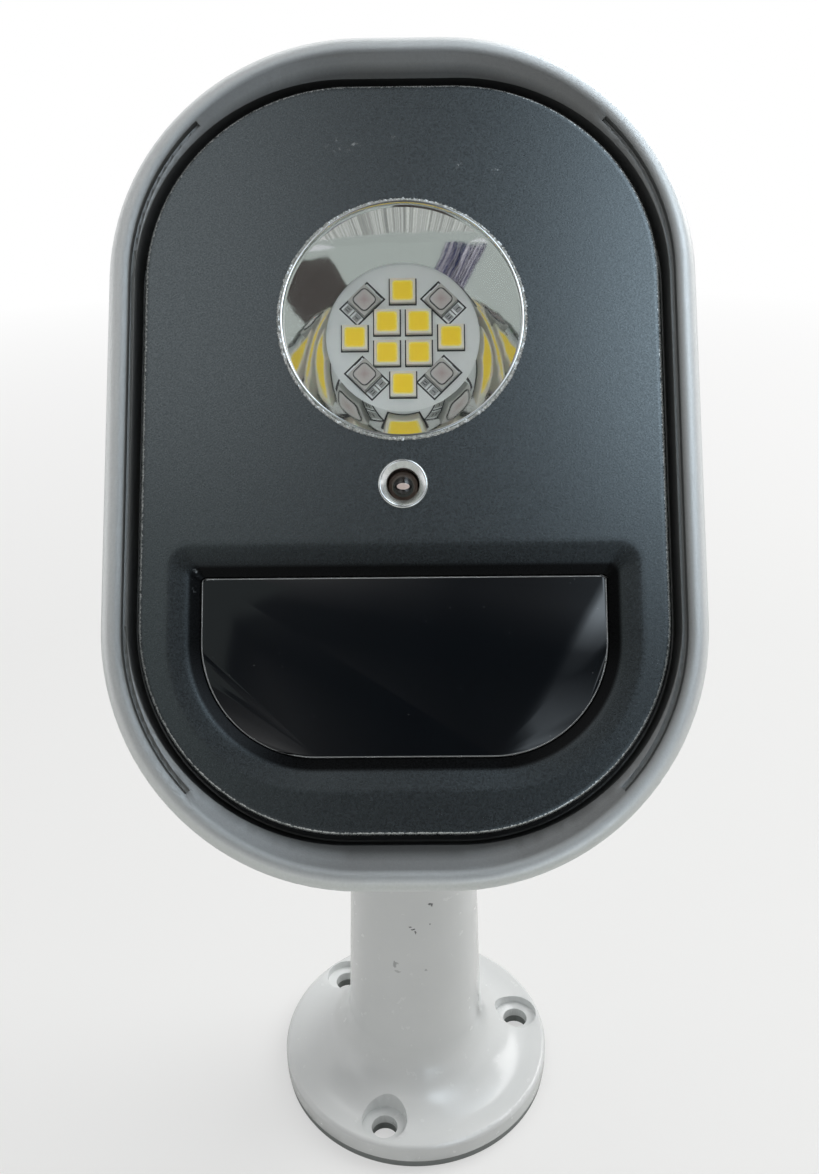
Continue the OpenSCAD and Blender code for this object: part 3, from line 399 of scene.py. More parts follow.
def makeHazedFinish(name, look):
    tree, shader, place = newMaterial(
        name, look["colour"], look["roughness"], look.get("metallic", 0.0), look.get("sockets", {}))
    size, detail = look["dust"]
    dust = addNode(tree, "ShaderNodeTexNoise", {"Vector": place, "Scale": perMm(size), "Detail": detail})
    (start, full), (clear, dull) = look["shows"], look["haze"]
    haze = addNode(tree, "ShaderNodeMapRange", {
        "Value": dust, "From Min": start, "From Max": full, "To Min": clear, "To Max": dull})
    fillNode(tree, shader, {"Roughness": haze})
    if "wave" in look:
        size, depth, strength = look["wave"]
        wave = addNode(tree, "ShaderNodeTexNoise", {"Vector": place, "Scale": perMm(size), "Detail": 1.0})
        bump = addNode(tree, "ShaderNodeBump", {"Height": wave, "Strength": strength, "Distance": depth * mm})
        fillNode(tree, shader, {"Normal": bump})


for name, look in hazedLooks.items():
    makeHazedFinish(name, look)


# Lamp resins: their colour runs from the middle to the rim, swayed by a fine speckle
radialLooks = {
    # yellow phosphor in clear silicone: deep yellow in the middle, paler where it thins at the rim. It turns
    # the blue of daylight yellow, and that glow is painted in as a faint fixed emission
    "yellowPhosphor": {
        "stops": [(0.0, "#F8CC00"), (0.6, "#FAD000"), (0.85, "#FAD41C"), (1.0, "#F3DE8A")], "roughness": 0.5,
        "sockets": {"IOR": 1.41, "Emission Color": (0.9, 1.0, 0.16, 1), "Emission Strength": 0.11},
        "speckle": 0.22},
    # clear epoxy of the infrared lamps over a pale chip, with a dark rim where it dips
    "clearInfraredEpoxy": {
        "stops": [(0.0, "#B3A6A2"), (0.35, "#BDB5B1"), (0.8, "#C6C4BF"), (0.88, "#A9A9A5"), (0.93, "#2A2C2D"),
                  (1.0, "#232526")], "roughness": 0.2,
        "sockets": {"IOR": 1.54, "Coat Weight": 0.5, "Coat Roughness": 0.05}, "speckle": 0.05},
}


def makeRadialFinish(name, look):
    stops, speckle = look["stops"], look["speckle"]
    tree, shader, place = newMaterial(name, stops[0][1], look["roughness"], 0.0, look["sockets"])
    centre = addNode(tree, "ShaderNodeAttribute", {"attribute_name": "fromCentre"})
    grain = addNode(tree, "ShaderNodeTexNoise", {"Vector": place, "Scale": perMm(0.25), "Detail": 4.0})
    sway = addNode(tree, "ShaderNodeMath", {
        "operation": "MULTIPLY_ADD", 0: grain, 1: speckle, 2: -speckle / 2})
    reach = addNode(tree, "ShaderNodeMath", {"operation": "ADD", 0: centre.outputs["Fac"], 1: sway})
    ramp = addNode(tree, "ShaderNodeValToRGB", {"Fac": reach})
    setStops(ramp, [(position, hexColour(code)) for position, code in stops])
    fillNode(tree, shader, {"Base Color": ramp})


for name, look in radialLooks.items():
    makeRadialFinish(name, look)


# Smoky epoxy of the light sensor: brownish and glassy, with the pale chip showing in its depth
smokyLook = {
    "tone": ("#8C7F78", "#B3A8A1"), "base": "#6E625C", "roughness": 0.03, "cloud": 0.9,
    "sockets": {"IOR": 1.54, "Transmission Weight": 1.0, "Coat Weight": 0.3, "Coat Roughness": 0.03},
}


def makeSmokyDome(look):
    tree, shader, place = newMaterial("smokyEpoxyDome", look["base"], look["roughness"], 0.0, look["sockets"])
    haze = addNode(tree, "ShaderNodeTexNoise", {
        "Vector": place, "Scale": perMm(look["cloud"]), "Detail": 2.0})
    tint = addNode(tree, "ShaderNodeMix", {
        "data_type": "RGBA", 0: haze, 6: hexColour(look["tone"][0]), 7: hexColour(look["tone"][1])})
    fillNode(tree, shader, {"Base Color": tint})


makeSmokyDome(smokyLook)


# Black glossy acrylic of the sensor window, with dust specks and fine wipe marks
windowLook = {
    "tone": ("#070B10", "#0A0F14"), "patch": 5, "grain": 7, "relief": 0.012, "sheen": (0.05, 0.09),
    "strength": 0.3, "sockets": {"IOR": 1.49},
    "dust": "#9A9E9F", "specks": (1.6, 0.035, 0.02, 0.55),    # their spacing, fade from and to, strength
}


def makeBlackWindow(look):
    tree, shader, place, tone = makeFinish("blackAcrylicWindow", look)
    spacing, outside, inside, strength = look["specks"]
    dust = addNode(tree, "ShaderNodeTexVoronoi", {
        "Vector": place, "Scale": perMm(spacing), "Randomness": 1.0})
    speck = addNode(tree, "ShaderNodeMapRange", {
        "Value": dust, "From Min": outside, "From Max": inside, "To Min": 0.0, "To Max": strength})
    dusty = addNode(tree, "ShaderNodeMix", {
        "data_type": "RGBA", 0: speck, 6: tone, 7: hexColour(look["dust"])})
    fillNode(tree, shader, {"Base Color": dusty})


makeBlackWindow(windowLook)
print("finishes made:", len(finishes))


# Mesh helpers. weld: how near points are merged, in metres
weldFine, weldCad = 1e-7, 2e-6
edgeRounding = {"angle": 30, "segments": 2}


def toMesh(name, shape, weld=None):
    if weld:
        bmesh.ops.remove_doubles(shape, verts=shape.verts, dist=weld)
        bmesh.ops.recalc_face_normals(shape, faces=shape.faces)
    mesh = bpy.data.meshes.new(name)
    shape.to_mesh(mesh)
    shape.free()
    return mesh


def placeMesh(name, mesh, finish, body, nodes=(), sharp=35):
    mesh.materials.clear()
    for key in [finish] if isinstance(finish, str) else finish:
        mesh.materials.append(finishes[key])
    mesh.shade_smooth()
    mesh.set_sharp_from_angle(angle=math.radians(sharp))
    piece = addObject(name, mesh)
    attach(piece, body)
    if nodes:
        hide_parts(*nodes)
    return piece


def roundEdges(piece, width):
    bevel = piece.modifiers.new("roundEdges", "BEVEL")
    bevel.width = width * mm
    bevel.segments = edgeRounding["segments"]
    bevel.limit_method = "ANGLE"
    bevel.angle_limit = math.radians(edgeRounding["angle"])
    bevel.harden_normals = True
    bevel.miter_outer = "MITER_ARC"
    return bevel


def weldedNode(node):
    # a copy of the CAD node's mesh with its loose triangles merged
    shape = bmesh.new()
    shape.from_mesh(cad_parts[node].data)
    bmesh.ops.remove_doubles(shape, verts=shape.verts, dist=weldCad)
    return shape


def bridgeRows(shape, rows, closed=True):
    count = len(rows[0])
    for low, high in zip(rows, rows[1:]):
        for i in range(count if closed else count - 1):
            j = (i + 1) % count
            shape.faces.new((low[i], low[j], high[j], high[i]))


def loftMesh(name, rings, caps=True, closed=True, weld=None):
    shape = bmesh.new()
    rows = [[shape.verts.new(v) for v in ring] for ring in rings]
    bridgeRows(shape, rows, closed)
    if caps:
        shape.faces.new(list(reversed(rows[0])))
        shape.faces.new(rows[-1])
    return toMesh(name, shape, weld)


def arcRing(arcs, z):
    # arcs of a quarter turn: middle x and y, radius, start angle, steps; in millimetres, as points in metres
    points = []
    for cx, cy, radius, start, steps in arcs:
        for step in range(steps + 1):
            a = math.radians(start + 90 * step / steps)
            points.append(Vector((cx + radius * math.cos(a), cy + radius * math.sin(a), z)) * mm)
    return points


def ovalRing(halfWide, halfHigh, corner, z, steps):
    x, y = halfWide - corner, halfHigh - corner
    return arcRing([(x, y, corner, 0, steps), (-x, y, corner, 90, steps), (-x, -y, corner, 180, steps),
                    (x, -y, corner, 270, steps)], z)


def roundRing(radius, z, count):
    angles = [2 * math.pi * i / count for i in range(count)]
    return [Vector((radius * math.cos(a), radius * math.sin(a), z)) * mm for a in angles]


# Geometry Nodes helpers
def startTree(name, inputs):
    tree = bpy.data.node_groups.new(name, "GeometryNodeTree")
    tree.interface.new_socket("Geometry", in_out="INPUT", socket_type="NodeSocketGeometry")
    for label, kind, value in inputs:
        socket = tree.interface.new_socket(label, in_out="INPUT", socket_type="NodeSocket" + kind)
        if value is not None:
            socket.default_value = value
    tree.interface.new_socket("Geometry", in_out="OUTPUT", socket_type="NodeSocketGeometry")
    return tree, addNode(tree, "NodeGroupInput").outputs


def endTree(tree, geometry, material):
    realized = addNode(tree, "GeometryNodeRealizeInstances", {"Geometry": geometry})
    coated = addNode(tree, "GeometryNodeSetMaterial", {"Geometry": realized, "Material": material})
    addNode(tree, "NodeGroupOutput", {"Geometry": coated})
    return tree


def growMesh(name, tree, values, places=((0, 0, 0, 0),)):
    # places: x, y, z in millimetres and a turn about z in degrees, each a point that the tree may fill
    seedMesh = bpy.data.meshes.new(name + "Places")
    seedMesh.from_pydata([Vector(p[:3]) * mm for p in places], [], [])
    turn = seedMesh.attributes.new("turn", "FLOAT", "POINT")
    for i, p in enumerate(places):
        turn.data[i].value = math.radians(p[3])
    holder = addObject(name + "Grower", seedMesh)
    grower = holder.modifiers.new("grow", "NODES")
    grower.node_group = tree
    for item in tree.interface.items_tree:
        if item.item_type == "SOCKET" and item.in_out == "INPUT" and item.name in values:
            grower[item.identifier] = values[item.name]
    bpy.context.view_layer.update()
    grown = holder.evaluated_get(bpy.context.evaluated_depsgraph_get())
    mesh = bpy.data.meshes.new_from_object(grown)
    mesh.name = name
    holder.modifiers.clear()
    bpy.data.objects.remove(holder)
    mesh.transform(headMatrix)
    return mesh


# Castings and other pieces that keep the CAD node's shape, with their edges rounded as the mould or the paint
# leaves them: name, node, finish, body, slot, rounding in millimetres
dressed = [
    ("armCasting", "bracket_arm", "whiteEnamel", "arm", "white_enamel", 0.45),
    ("wallPad", "base_pad", "rubberPad", "arm", "grey_pad", 0.25),
    ("swivelSetScrew", "swivel_screw", "platedSteel", "arm", "plated_steel", 0.12),
    ("swivelWasher", "swivel_washer", "nylonWasher", "arm", "nylon", 0.12),
    ("swivelKnuckle", "swivel_knuckle", "silverLacquer", "knuckle", "cast_silver", 0.35),
    ("tiltBolt", "tilt_bolt", "platedSteel", "head", "plated_steel", 0.3),
    ("tiltNut", "tilt_nut", "platedSteel", "head", "plated_steel", 0.3),
    ("tiltWashers", "tilt_washers", "nylonWasher", "head", "nylon", 0.12),
    ("headClevis", "head_clevis", "silverLacquer", "head", "cast_silver", 0.4),
    ("frontFrame", "front_frame", "satinSilverCasting", "head", "satin_silver", 0.12),
    ("panelSeal", "panel_seal", "sealRubber", "head", "black_rubber", 0.1),
    ("rearCover", "rear_cover", "rearSilverCasting", "head", "cast_silver", 0.3),
    ("coverSeal", "cover_seal", "sealRubber", "head", "black_rubber", 0.15),
    ("coverLens", "cover_lens", "clearPolycarbonate", "head", "clear_lens", 0.08),
    ("lampBoard", "led_board", "whiteSolderMask", "head", "white_board", 0.05),
    ("heatSpreader", "heat_spreader", "turnedAluminium", "head", "raw_aluminium", 0.3),
    ("sensorSpacer", "sensor_spacer", "blackAbs", "head", "black_plastic", 0.15),
    ("sensorWindow", "sensor_window", ["blackAcrylicWindow", "sawnAcrylicEdge"], "head", "black_window",
     0.15),
    ("windowTape", "window_tape", "sealRubber", "head", "black_rubber", 0.05),
    ("motionBoard", "motion_board", "greenBoard", "head", "green_board", 0.1),
    ("motionSensor", "motion_sensor", "tinnedCan", "head", "can_steel", 0.4),
    ("driverBoard", "driver_board", "greenBoard", "head", "green_board", 0.1),
    ("boardPillars", "board_pillars", "turnedBrass", "head", "brass_pillar", 0.2),
    ("coilCore", "coil_core", "darkFerrite", "head", "ferrite", 0.3),
    ("driverCapacitors", "driver_capacitors", "blueSleeve", "head", "capacitor_sleeve", 0.5),
    ("driverChip", "driver_chip", "chipEpoxy", "head", "black_plastic", 0.1),
    ("terminalBlock", "terminal_block", "greenPolyamide", "head", "green_plastic", 0.3),
    ("cableGland", "cable_gland", "blackNylon", "head", "black_nylon", 0.3),
    ("glandCap", "gland_cap", "blackNylon", "head", "black_nylon", 0.3),
    ("glandNut", "gland_nut", "blackNylon", "head", "black_nylon", 0.3),
]
for name, node, finish, body, slotName, rounding in dressed:
    shape = weldedNode(node)
    bmesh.ops.dissolve_degenerate(shape, edges=shape.edges, dist=1e-6)
    bevel = roundEdges(placeMesh(name, toMesh(name, shape), finish, body, [node]), rounding)
    if name == "sensorWindow":
        bevel.material = 1      # the cut edge carries the painted highlight, a fine pale line
        bevel.use_clamp_overlap = False
print("castings dressed:", len(dressed))


# Front panel: its face with the round holes and the dished D, its edges and its posts, in millimetres
frontPanel = {
    "half": (28.85, 42.15), "corner": 22.95, "cornerSteps": 40, "thick": 3.0,
    # round holes: height, radius, points round
    "holes": [(14.5, 13.75, 160), (-4.35, 2.3, 64)],
    # outer edge, as (inset, height, wear)
    "edge": [(0.0, -3.0, 0.0), (0.0, -0.42, 0.1), (0.06, -0.26, 0.9), (0.26, -0.05, 1.0), (0.4, 0.0, 0.75),
             (0.75, 0.0, 0.0)],
    # a hole's edge, as (growth, height, wear)
    "holeEdge": [(0.0, -3.0, 0.0), (0.0, -0.12, 0.5), (0.12, 0.0, 0.9), (0.55, 0.0, 0.0)],
    # the D: half width, top, bottom, radii of its corners, then the dish as (growth, height, painted shade)
    "dShape": (22.1, -14.5, -34.0, 0.5, 12.6), "dSteps": (8, 32),
    "dish": [(4.2, 0.0, 0.0), (3.7, 0.0, 0.0), (3.45, -0.015, 0.08), (3.15, -0.06, 0.2), (2.6, -0.14, 0.27),
             (1.9, -0.255, 0.34), (1.5, -0.33, 0.5), (1.28, -0.4, 0.86), (1.1, -0.48, 1.0), (0.3, -0.83, 1.0),
             (0.14, -0.92, 1.0), (0.1, -1.1, 1.0), (0.1, -2.4, 1.0), (-1.4, -2.4, 1.0), (-1.4, -3.0, 1.0)],
    # screw posts on the back: their places, then the profile as (radius, height behind the back)
    "posts": [(sx * 24.3, y) for sx in (-1, 1) for y in (-6.0, -23.0)], "postAround": 32,
    "post": [(1.8, 0.3), (1.8, -5.35), (1.65, -5.5), (1.05, -5.5), (1.05, -2.0)],
}


def dRing(settings, growth, z):
    half, top, low, upper, lower = settings["dShape"]
    few, many = settings["dSteps"]
    half, top, low = half + growth, top + growth, low - growth
    upper, lower = max(upper + growth / 2, 0.2), lower + growth
    return arcRing([(half - upper, top - upper, upper, 0, few), (upper - half, top - upper, upper, 90, few),
                    (lower - half, low + lower, lower, 180, many),
                    (half - lower, low + lower, lower, 270, many)], z)


def buildPanel(settings):
    shape = bmesh.new()
    # each point's share of the painted shade down the dish, and of edge wear
    recess = shape.verts.layers.float.new("recess")
    wear = shape.verts.layers.float.new("edgeWear")

    def ringEdges(row):
        pairs = zip(row, row[1:] + row[:1])
        return [shape.edges.get(pair) or shape.edges.new(pair) for pair in pairs]

    def run(rings):
        # rings: points, painted shade, wear, each joined to the one before; returns the edges at both ends
        rows = []
        for points, dark, worn in rings:
            row = [shape.verts.new(v) for v in points]
            for vertex in row:
                vertex[recess], vertex[wear] = dark, worn
            rows.append(row)
        bridgeRows(shape, rows)
        return [ringEdges(rows[0]), ringEdges(rows[-1])]

    def movedRing(radius, z, count, x, y):
        return [v + Vector((x, y, 0)) * mm for v in roundRing(radius, z, count)]

    (halfWide, halfHigh), corner, steps = settings["half"], settings["corner"], settings["cornerSteps"]
    loops = [run([(ovalRing(halfWide - inset, halfHigh - inset, corner - inset, z, steps), 0.0, worn)
                  for inset, z, worn in settings["edge"]])]
    for height, radius, count in settings["holes"]:
        loops.append(run([(movedRing(radius + growth, z, count, 0, height), 0.0, worn)
                          for growth, z, worn in settings["holeEdge"]]))
    face, back = run([(dRing(settings, growth, z), dark, 0.0) for growth, z, dark in settings["dish"]])
    loops.append([back, face])
    for which in (0, 1):
        edges = [edge for loop in loops for edge in loop[which]]
        bmesh.ops.triangle_fill(shape, use_beauty=True, use_dissolve=False, edges=edges)
    for x, y in settings["posts"]:
        for edges in run([(movedRing(radius, z - settings["thick"], settings["postAround"], x, y), 0.0, 0.0)
                          for radius, z in settings["post"]]):
            bmesh.ops.edgeloop_fill(shape, edges=edges)
    bmesh.ops.recalc_face_normals(shape, faces=shape.faces)
    shape.transform(headMatrix)
    placeMesh("frontPanel", toMesh("frontPanel", shape), "texturedPanelCoat", "head",
              ["front_panel"], 40)


buildPanel(frontPanel)
print("panel built")


# Reflector cup: a short straight collar, then a flared wall that steepens a little towards the mouth
cup = {
    "baseRadius": 9.0, "shelfRadius": 13.2, "depth": 6.8, "shelf": -0.55, "collar": 0.65, "bell": -0.05,
    "seatRadius": 13.35, "lipOuter": 13.62, "lipHeight": 0.35, "sleeve": 13.65, "wall": 0.8,
    "panelBack": -3.1, "neckRadius": 12.0, "centreHeight": 14.5, "around": 160, "along": 28, "collarRows": 3,
}


def buildCupTree():
    tree, given = startTree("flaredCup", [
        ("Base radius", "Float", 0.009), ("Flare", "Float", 0.0042), ("Bell", "Float", 0.3),
        ("Collar height", "Float", 0.0009), ("Wall height", "Float", 0.00535),
        ("Collar share", "Float", 0.15), ("Around", "Int", 160), ("Along", "Int", 28),
        ("Finish", "Material", None)])
    grid = addNode(tree, "GeometryNodeMeshGrid", {
        "Size X": 1.0, "Size Y": 1.0, "Vertices X": given["Around"], "Vertices Y": given["Along"]})
    where = addNode(tree, "ShaderNodeSeparateXYZ", {0: addNode(tree, "GeometryNodeInputPosition")})
    # each sum: name, operation, two values, which are numbers, inputs of the tree or earlier sums
    sums = [
        ("turn", "ADD", "across", 0.5), ("angle", "MULTIPLY", "turn", 2 * math.pi),
        ("share", "ADD", "upward", 0.5),
        # share of the collar and share of the flared wall above it, each from 0 to 1
        ("inCollar", "DIVIDE", "share", "Collar share"), ("low", "MINIMUM", "inCollar", 1.0),
        ("above", "SUBTRACT", "share", "Collar share"), ("rest", "SUBTRACT", 1.0, "Collar share"),
        ("inWall", "DIVIDE", "above", "rest"), ("high", "MAXIMUM", "inWall", 0.0),
        # how far the wall has flared there, bent by the bell
        ("left", "SUBTRACT", 1.0, "high"), ("sag", "MULTIPLY", "Bell", "left"),
        ("bend", "SUBTRACT", 1.0, "sag"), ("bent", "MULTIPLY", "high", "bend"),
        ("flared", "MULTIPLY", "Flare", "bent"), ("radius", "ADD", "Base radius", "flared"),
        ("lowRise", "MULTIPLY", "low", "Collar height"), ("highRise", "MULTIPLY", "high", "Wall height"),
        ("height", "ADD", "lowRise", "highRise"),
        ("cosine", "COSINE", "angle", 0.0), ("sine", "SINE", "angle", 0.0),
        ("x", "MULTIPLY", "radius", "cosine"), ("y", "MULTIPLY", "radius", "sine"),
    ]
    known = {socket.name: socket for socket in given if socket.name}
    known.update({"across": where.outputs["X"], "upward": where.outputs["Y"]})
    for name, operation, first, second in sums:
        known[name] = addNode(tree, "ShaderNodeMath", {
            "operation": operation, 0: known.get(first, first), 1: known.get(second, second)})
    place = addNode(tree, "ShaderNodeCombineXYZ", {"X": known["x"], "Y": known["y"], "Z": known["height"]})
    bentGrid = addNode(tree, "GeometryNodeSetPosition", {"Geometry": grid, "Position": place})
    joined = addNode(tree, "GeometryNodeMergeByDistance", {"Geometry": bentGrid, "Distance": 1e-6})
    return endTree(tree, joined, given["Finish"])


def buildCup(settings):
    rows, around, depth = settings["along"], settings["around"], settings["depth"]
    base, shelf, shelfRadius = settings["baseRadius"], settings["shelf"], settings["shelfRadius"]
    collar, wall = settings["collar"], settings["wall"]
    inner = growMesh("cupWall", buildCupTree(), {
        "Base radius": base * mm, "Flare": (shelfRadius - base) * mm, "Bell": settings["bell"],
        "Collar height": collar * mm, "Wall height": (shelf + depth - collar) * mm,
        "Collar share": settings["collarRows"] / (rows - 1), "Around": around + 1, "Along": rows,
        "Finish": finishes["metallisedCup"]})
    inner.transform(Matrix.Translation((0, 0, -depth * mm)) @ headInverse)
    seat, lip, top = settings["seatRadius"], settings["lipOuter"], settings["lipHeight"]
    sleeve, back = settings["sleeve"], settings["panelBack"]
    profile = [(shelfRadius, shelf), (seat, shelf), (seat, top - 0.1), (seat + 0.03, top - 0.03),
               (seat + 0.1, top), (lip - 0.1, top), (lip - 0.03, top - 0.03), (lip, top - 0.1), (lip, 0.02),
               (sleeve, 0.0), (sleeve, back), (settings["neckRadius"], back), (base + wall, collar - depth),
               (base + wall, -depth), (base, -depth)]
    outer = loftMesh("cupOuter", [roundRing(r, z, around) for r, z in profile], False)
    shape = bmesh.new()
    shape.from_mesh(inner)
    shape.from_mesh(outer)
    mesh = toMesh("reflectorCup", shape, weldCad)
    mesh.transform(headMatrix @ Matrix.Translation((0, settings["centreHeight"] * mm, 0)))
    bpy.data.meshes.remove(inner)
    bpy.data.meshes.remove(outer)
    placeMesh("reflectorCup", mesh, "metallisedCup", "head", ["reflector"], 30)


buildCup(cup)
print("reflector cup grown")


# Light sensor: a bright ring with a sloping inside, and a clear dark dome over its chip
sensor = {
    "centreHeight": -4.35, "around": 96,
    "ring": [(1.8, -3.0), (2.25, -3.0), (2.25, 0.0), (2.75, 0.0), (2.75, 0.12), (2.71, 0.22), (2.62, 0.28),
             (2.52, 0.3), (2.45, 0.27), (2.4, 0.2), (1.84, -0.12), (1.8, -0.2)],
    "dome": {"radius": 1.75, "top": -0.08, "length": 5.0, "steps": 14},
    # the lead frame under the dome: a cup round a small flat floor
    "cup": [(1.5, -2.75), (1.5, -1.45), (1.4, -1.45), (0.75, -1.95), (0.72, -2.75)],
    # the chip: half width, half height, then its profile as (share, height)
    "chip": (0.52, 0.26, [(0.96, -1.52), (1.0, -1.5), (1.0, -1.45), (0.94, -1.42)]),
}


def buildSensor(settings):
    around, dome = settings["around"], settings["dome"]
    domeProfile = [(dome["radius"], dome["top"] - dome["length"])]
    for i in range(dome["steps"]):
        a = math.radians(90 * i / dome["steps"])
        domeProfile.append((dome["radius"] * math.cos(a), dome["top"] - dome["radius"] * (1 - math.sin(a))))
    domeProfile.append((0.03, dome["top"]))
    wide, high, chipProfile = settings["chip"]
    angles = [2 * math.pi * i / around for i in range(0, around, 2)]
    chipRings = [[Vector((wide * share * math.cos(a), high * share * math.sin(a), z)) * mm for a in angles]
                 for share, z in chipProfile]
    # name, profile or rings, closed like a ring or capped, finish, slot, nodes
    parts = [
        ("sensorRing", settings["ring"], True, "brightDippedRing", "polished_ring", ["sensor_ring"]),
        ("lightSensor", domeProfile, False, "smokyEpoxyDome", "dark_dome", ["light_sensor"]),
        ("sensorCup", settings["cup"], True, "darkLeadFrame", "dark_dome", ()),
    ]
    stand = headMatrix @ Matrix.Translation((0, settings["centreHeight"] * mm, 0))
    for name, profile, closed, finish, slotName, nodes in parts:
        rings = [roundRing(r, z, around) for r, z in (profile + profile[:1] if closed else profile)]
        mesh = loftMesh(name, rings, not closed, weld=weldFine)
        mesh.transform(stand)
        placeMesh(name, mesh, finish, "head", nodes)
    mesh = loftMesh("sensorChip", chipRings)
    mesh.transform(stand)
    placeMesh("sensorChip", mesh, "paleSensorChip", "head")


buildSensor(sensor)
print("light sensor built")


# Rim of the panel's hole: a narrow ring of torn bare metal between the coat and the cup's lip.
# rough: how far its points stray, size: how fine they do, in millimetres; shift: to the noise that lifts them
holeRim = {
    "inner": 13.64, "outer": 13.95, "low": -0.05, "top": 0.24, "highest": 0.35, "rough": 0.16, "around": 900,
    "size": 0.22, "shift": (17, 5, 3),
}


def buildHoleRim(settings):
    inner, outer, low, top = settings["inner"], settings["outer"], settings["low"], settings["top"]
    middle, rough, shift = (inner + outer) / 2, settings["rough"], Vector(settings["shift"])
    # radius, height, share of the roughness
    profile = [(inner, low, 0.0), (inner, top * 0.6, 0.6), (middle - 0.04, top, 1.0),
               (middle + 0.06, top * 0.8, 1.0), (outer, top * 0.3, 1.0), (outer + 0.05, low, 0.5)]
    rings = []
    for r, z, share in profile:
        ring = []
        for i in range(settings["around"]):
            a = 2 * math.pi * i / settings["around"]
            at = Vector((r * math.cos(a), r * math.sin(a), z)) / settings["size"]
            reach = r + share * rough * noise.noise(at)
            lift = min(z + share * rough * noise.noise(at + shift), settings["highest"])
            ring.append(Vector((reach * math.cos(a), reach * math.sin(a), lift)) * mm)
        rings.append(ring)
    rings.append([Vector((v.x, v.y, low * mm)) for v in rings[0]])
    mesh = loftMesh("holeRim", rings, False, weld=weldFine)
    mesh.transform(headMatrix @ Matrix.Translation((0, cup["centreHeight"] * mm, 0)))
    placeMesh("holeRim", mesh, "tornBareMetal", "head", (), 30)


buildHoleRim(holeRim)
print("hole rim torn")


# Lamps on the board: eight white packages and four infrared ones turned by 45 degrees, in millimetres
lamps = {
    "side": 3.0, "height": 0.7, "well": 0.15, "wellShare": 0.82, "crown": 0.03, "outer": 5.65, "inner": 1.87,
    "ir": 4.5, "irSide": 2.8, "irLens": 2.3, "irCorner": 0.62, "irRise": 0.12, "boardTop": -6.8,
    "centreHeight": 14.5,
    # rings of the crowned phosphor and of the flat window as shares of the side, the window's with their lift
    "phosphorShares": [1.0, 0.9, 0.75, 0.55, 0.3, 0.08],
    "windowShares": [(0.985, 0.0), (0.95, -0.02), (0.86, -0.05), (0.6, -0.04), (0.3, -0.03), (0.05, -0.02)],
    # printed lines round the packages, as width, height and offset of their outline
    "inkWidth": 0.19, "inkHeight": 0.03, "whiteOutline": (3.3, 3.3, 0.0), "irOutline": (4.7, 3.1, 0.4),
    # pads and marks beside an infrared lamp, as middle x, y, width, height
    "pads": [(2.05, 0.72, 0.85, 0.8), (2.05, -0.72, 0.85, 0.8)], "padHeight": 0.05,
    "marks": [(1.5, 0, 0.1, 2.9), (2.05, 0.0, 0.9, 0.1), (2.05, 0.72, 0.1, 0.5), (2.2, -0.72, 0.1, 0.5),
              (1.9, -0.72, 0.1, 0.5), (-1.75, 0.6, 0.1, 1.1)], "markHeight": 0.06,
}


def buildPlaceTree():
    # sets one shape on every place, turned by the place's own angle
    tree, given = startTree("placeCopies", [("Shape", "Object", None), ("Finish", "Material", None)])
    shape = addNode(tree, "GeometryNodeObjectInfo", {"Object": given["Shape"]})
    turn = addNode(tree, "GeometryNodeInputNamedAttribute", {"data_type": "FLOAT", "Name": "turn"})
    turns = addNode(tree, "ShaderNodeCombineXYZ", {"Z": turn.outputs["Attribute"]})
    copies = addNode(tree, "GeometryNodeInstanceOnPoints", {
        "Points": given["Geometry"], "Instance": shape.outputs["Geometry"], "Rotation": turns})
    return endTree(tree, copies, given["Finish"])


def packageMesh(side, height, wellSide, well):
    # a moulded square with a shallow well; each ring: side, corner, height
    rings = [(side - 0.1, 0.1, 0), (side, 0.12, 0.1), (side, 0.12, height - 0.08), (side - 0.12, 0.1, height),
             (wellSide + 0.06, 0.36, height), (wellSide, 0.34, height - 0.03),
             (wellSide, 0.34, height - well)]
    return loftMesh("package", [ovalRing(s / 2, s / 2, corner, z, 4) for s, corner, z in rings])


def crownedMesh(side, corner, steps, levels):
    # rounded squares that shrink to the middle; levels: share of the side, height. The stored attribute says
    # how far out a point lies, from 0 in the middle to 1 at the rim
    half = side / 2
    mesh = loftMesh("crowned", [
        ovalRing(half * share, half * share, corner * share, z, steps) for share, z in levels])
    spread = mesh.attributes.new("fromCentre", "FLOAT", "POINT")
    for i, vertex in enumerate(mesh.vertices):
        x, y = abs(vertex.co.x) / (half * mm), abs(vertex.co.y) / (half * mm)
        spread.data[i].value = (x ** 5 + y ** 5) ** 0.2
    return mesh


def outlineBars(width, height, offset, line):
    # a printed rectangle, as four thin bars
    upper, side = (height - line) / 2, (width - line) / 2
    return [(offset, upper, width, line), (offset, -upper, width, line),
            (offset + side, 0, line, height - 2 * line), (offset - side, 0, line, height - 2 * line)]


def barsMesh(bars, thick):
    shape = bmesh.new()
    for x, y, wide, high in bars:
        made = bmesh.ops.create_cube(shape, size=1)["verts"]
        bmesh.ops.scale(shape, verts=made, vec=(wide * mm, high * mm, thick * mm))
        bmesh.ops.translate(shape, verts=made, vec=(x * mm, y * mm, thick / 2 * mm))
    return toMesh("bars", shape)


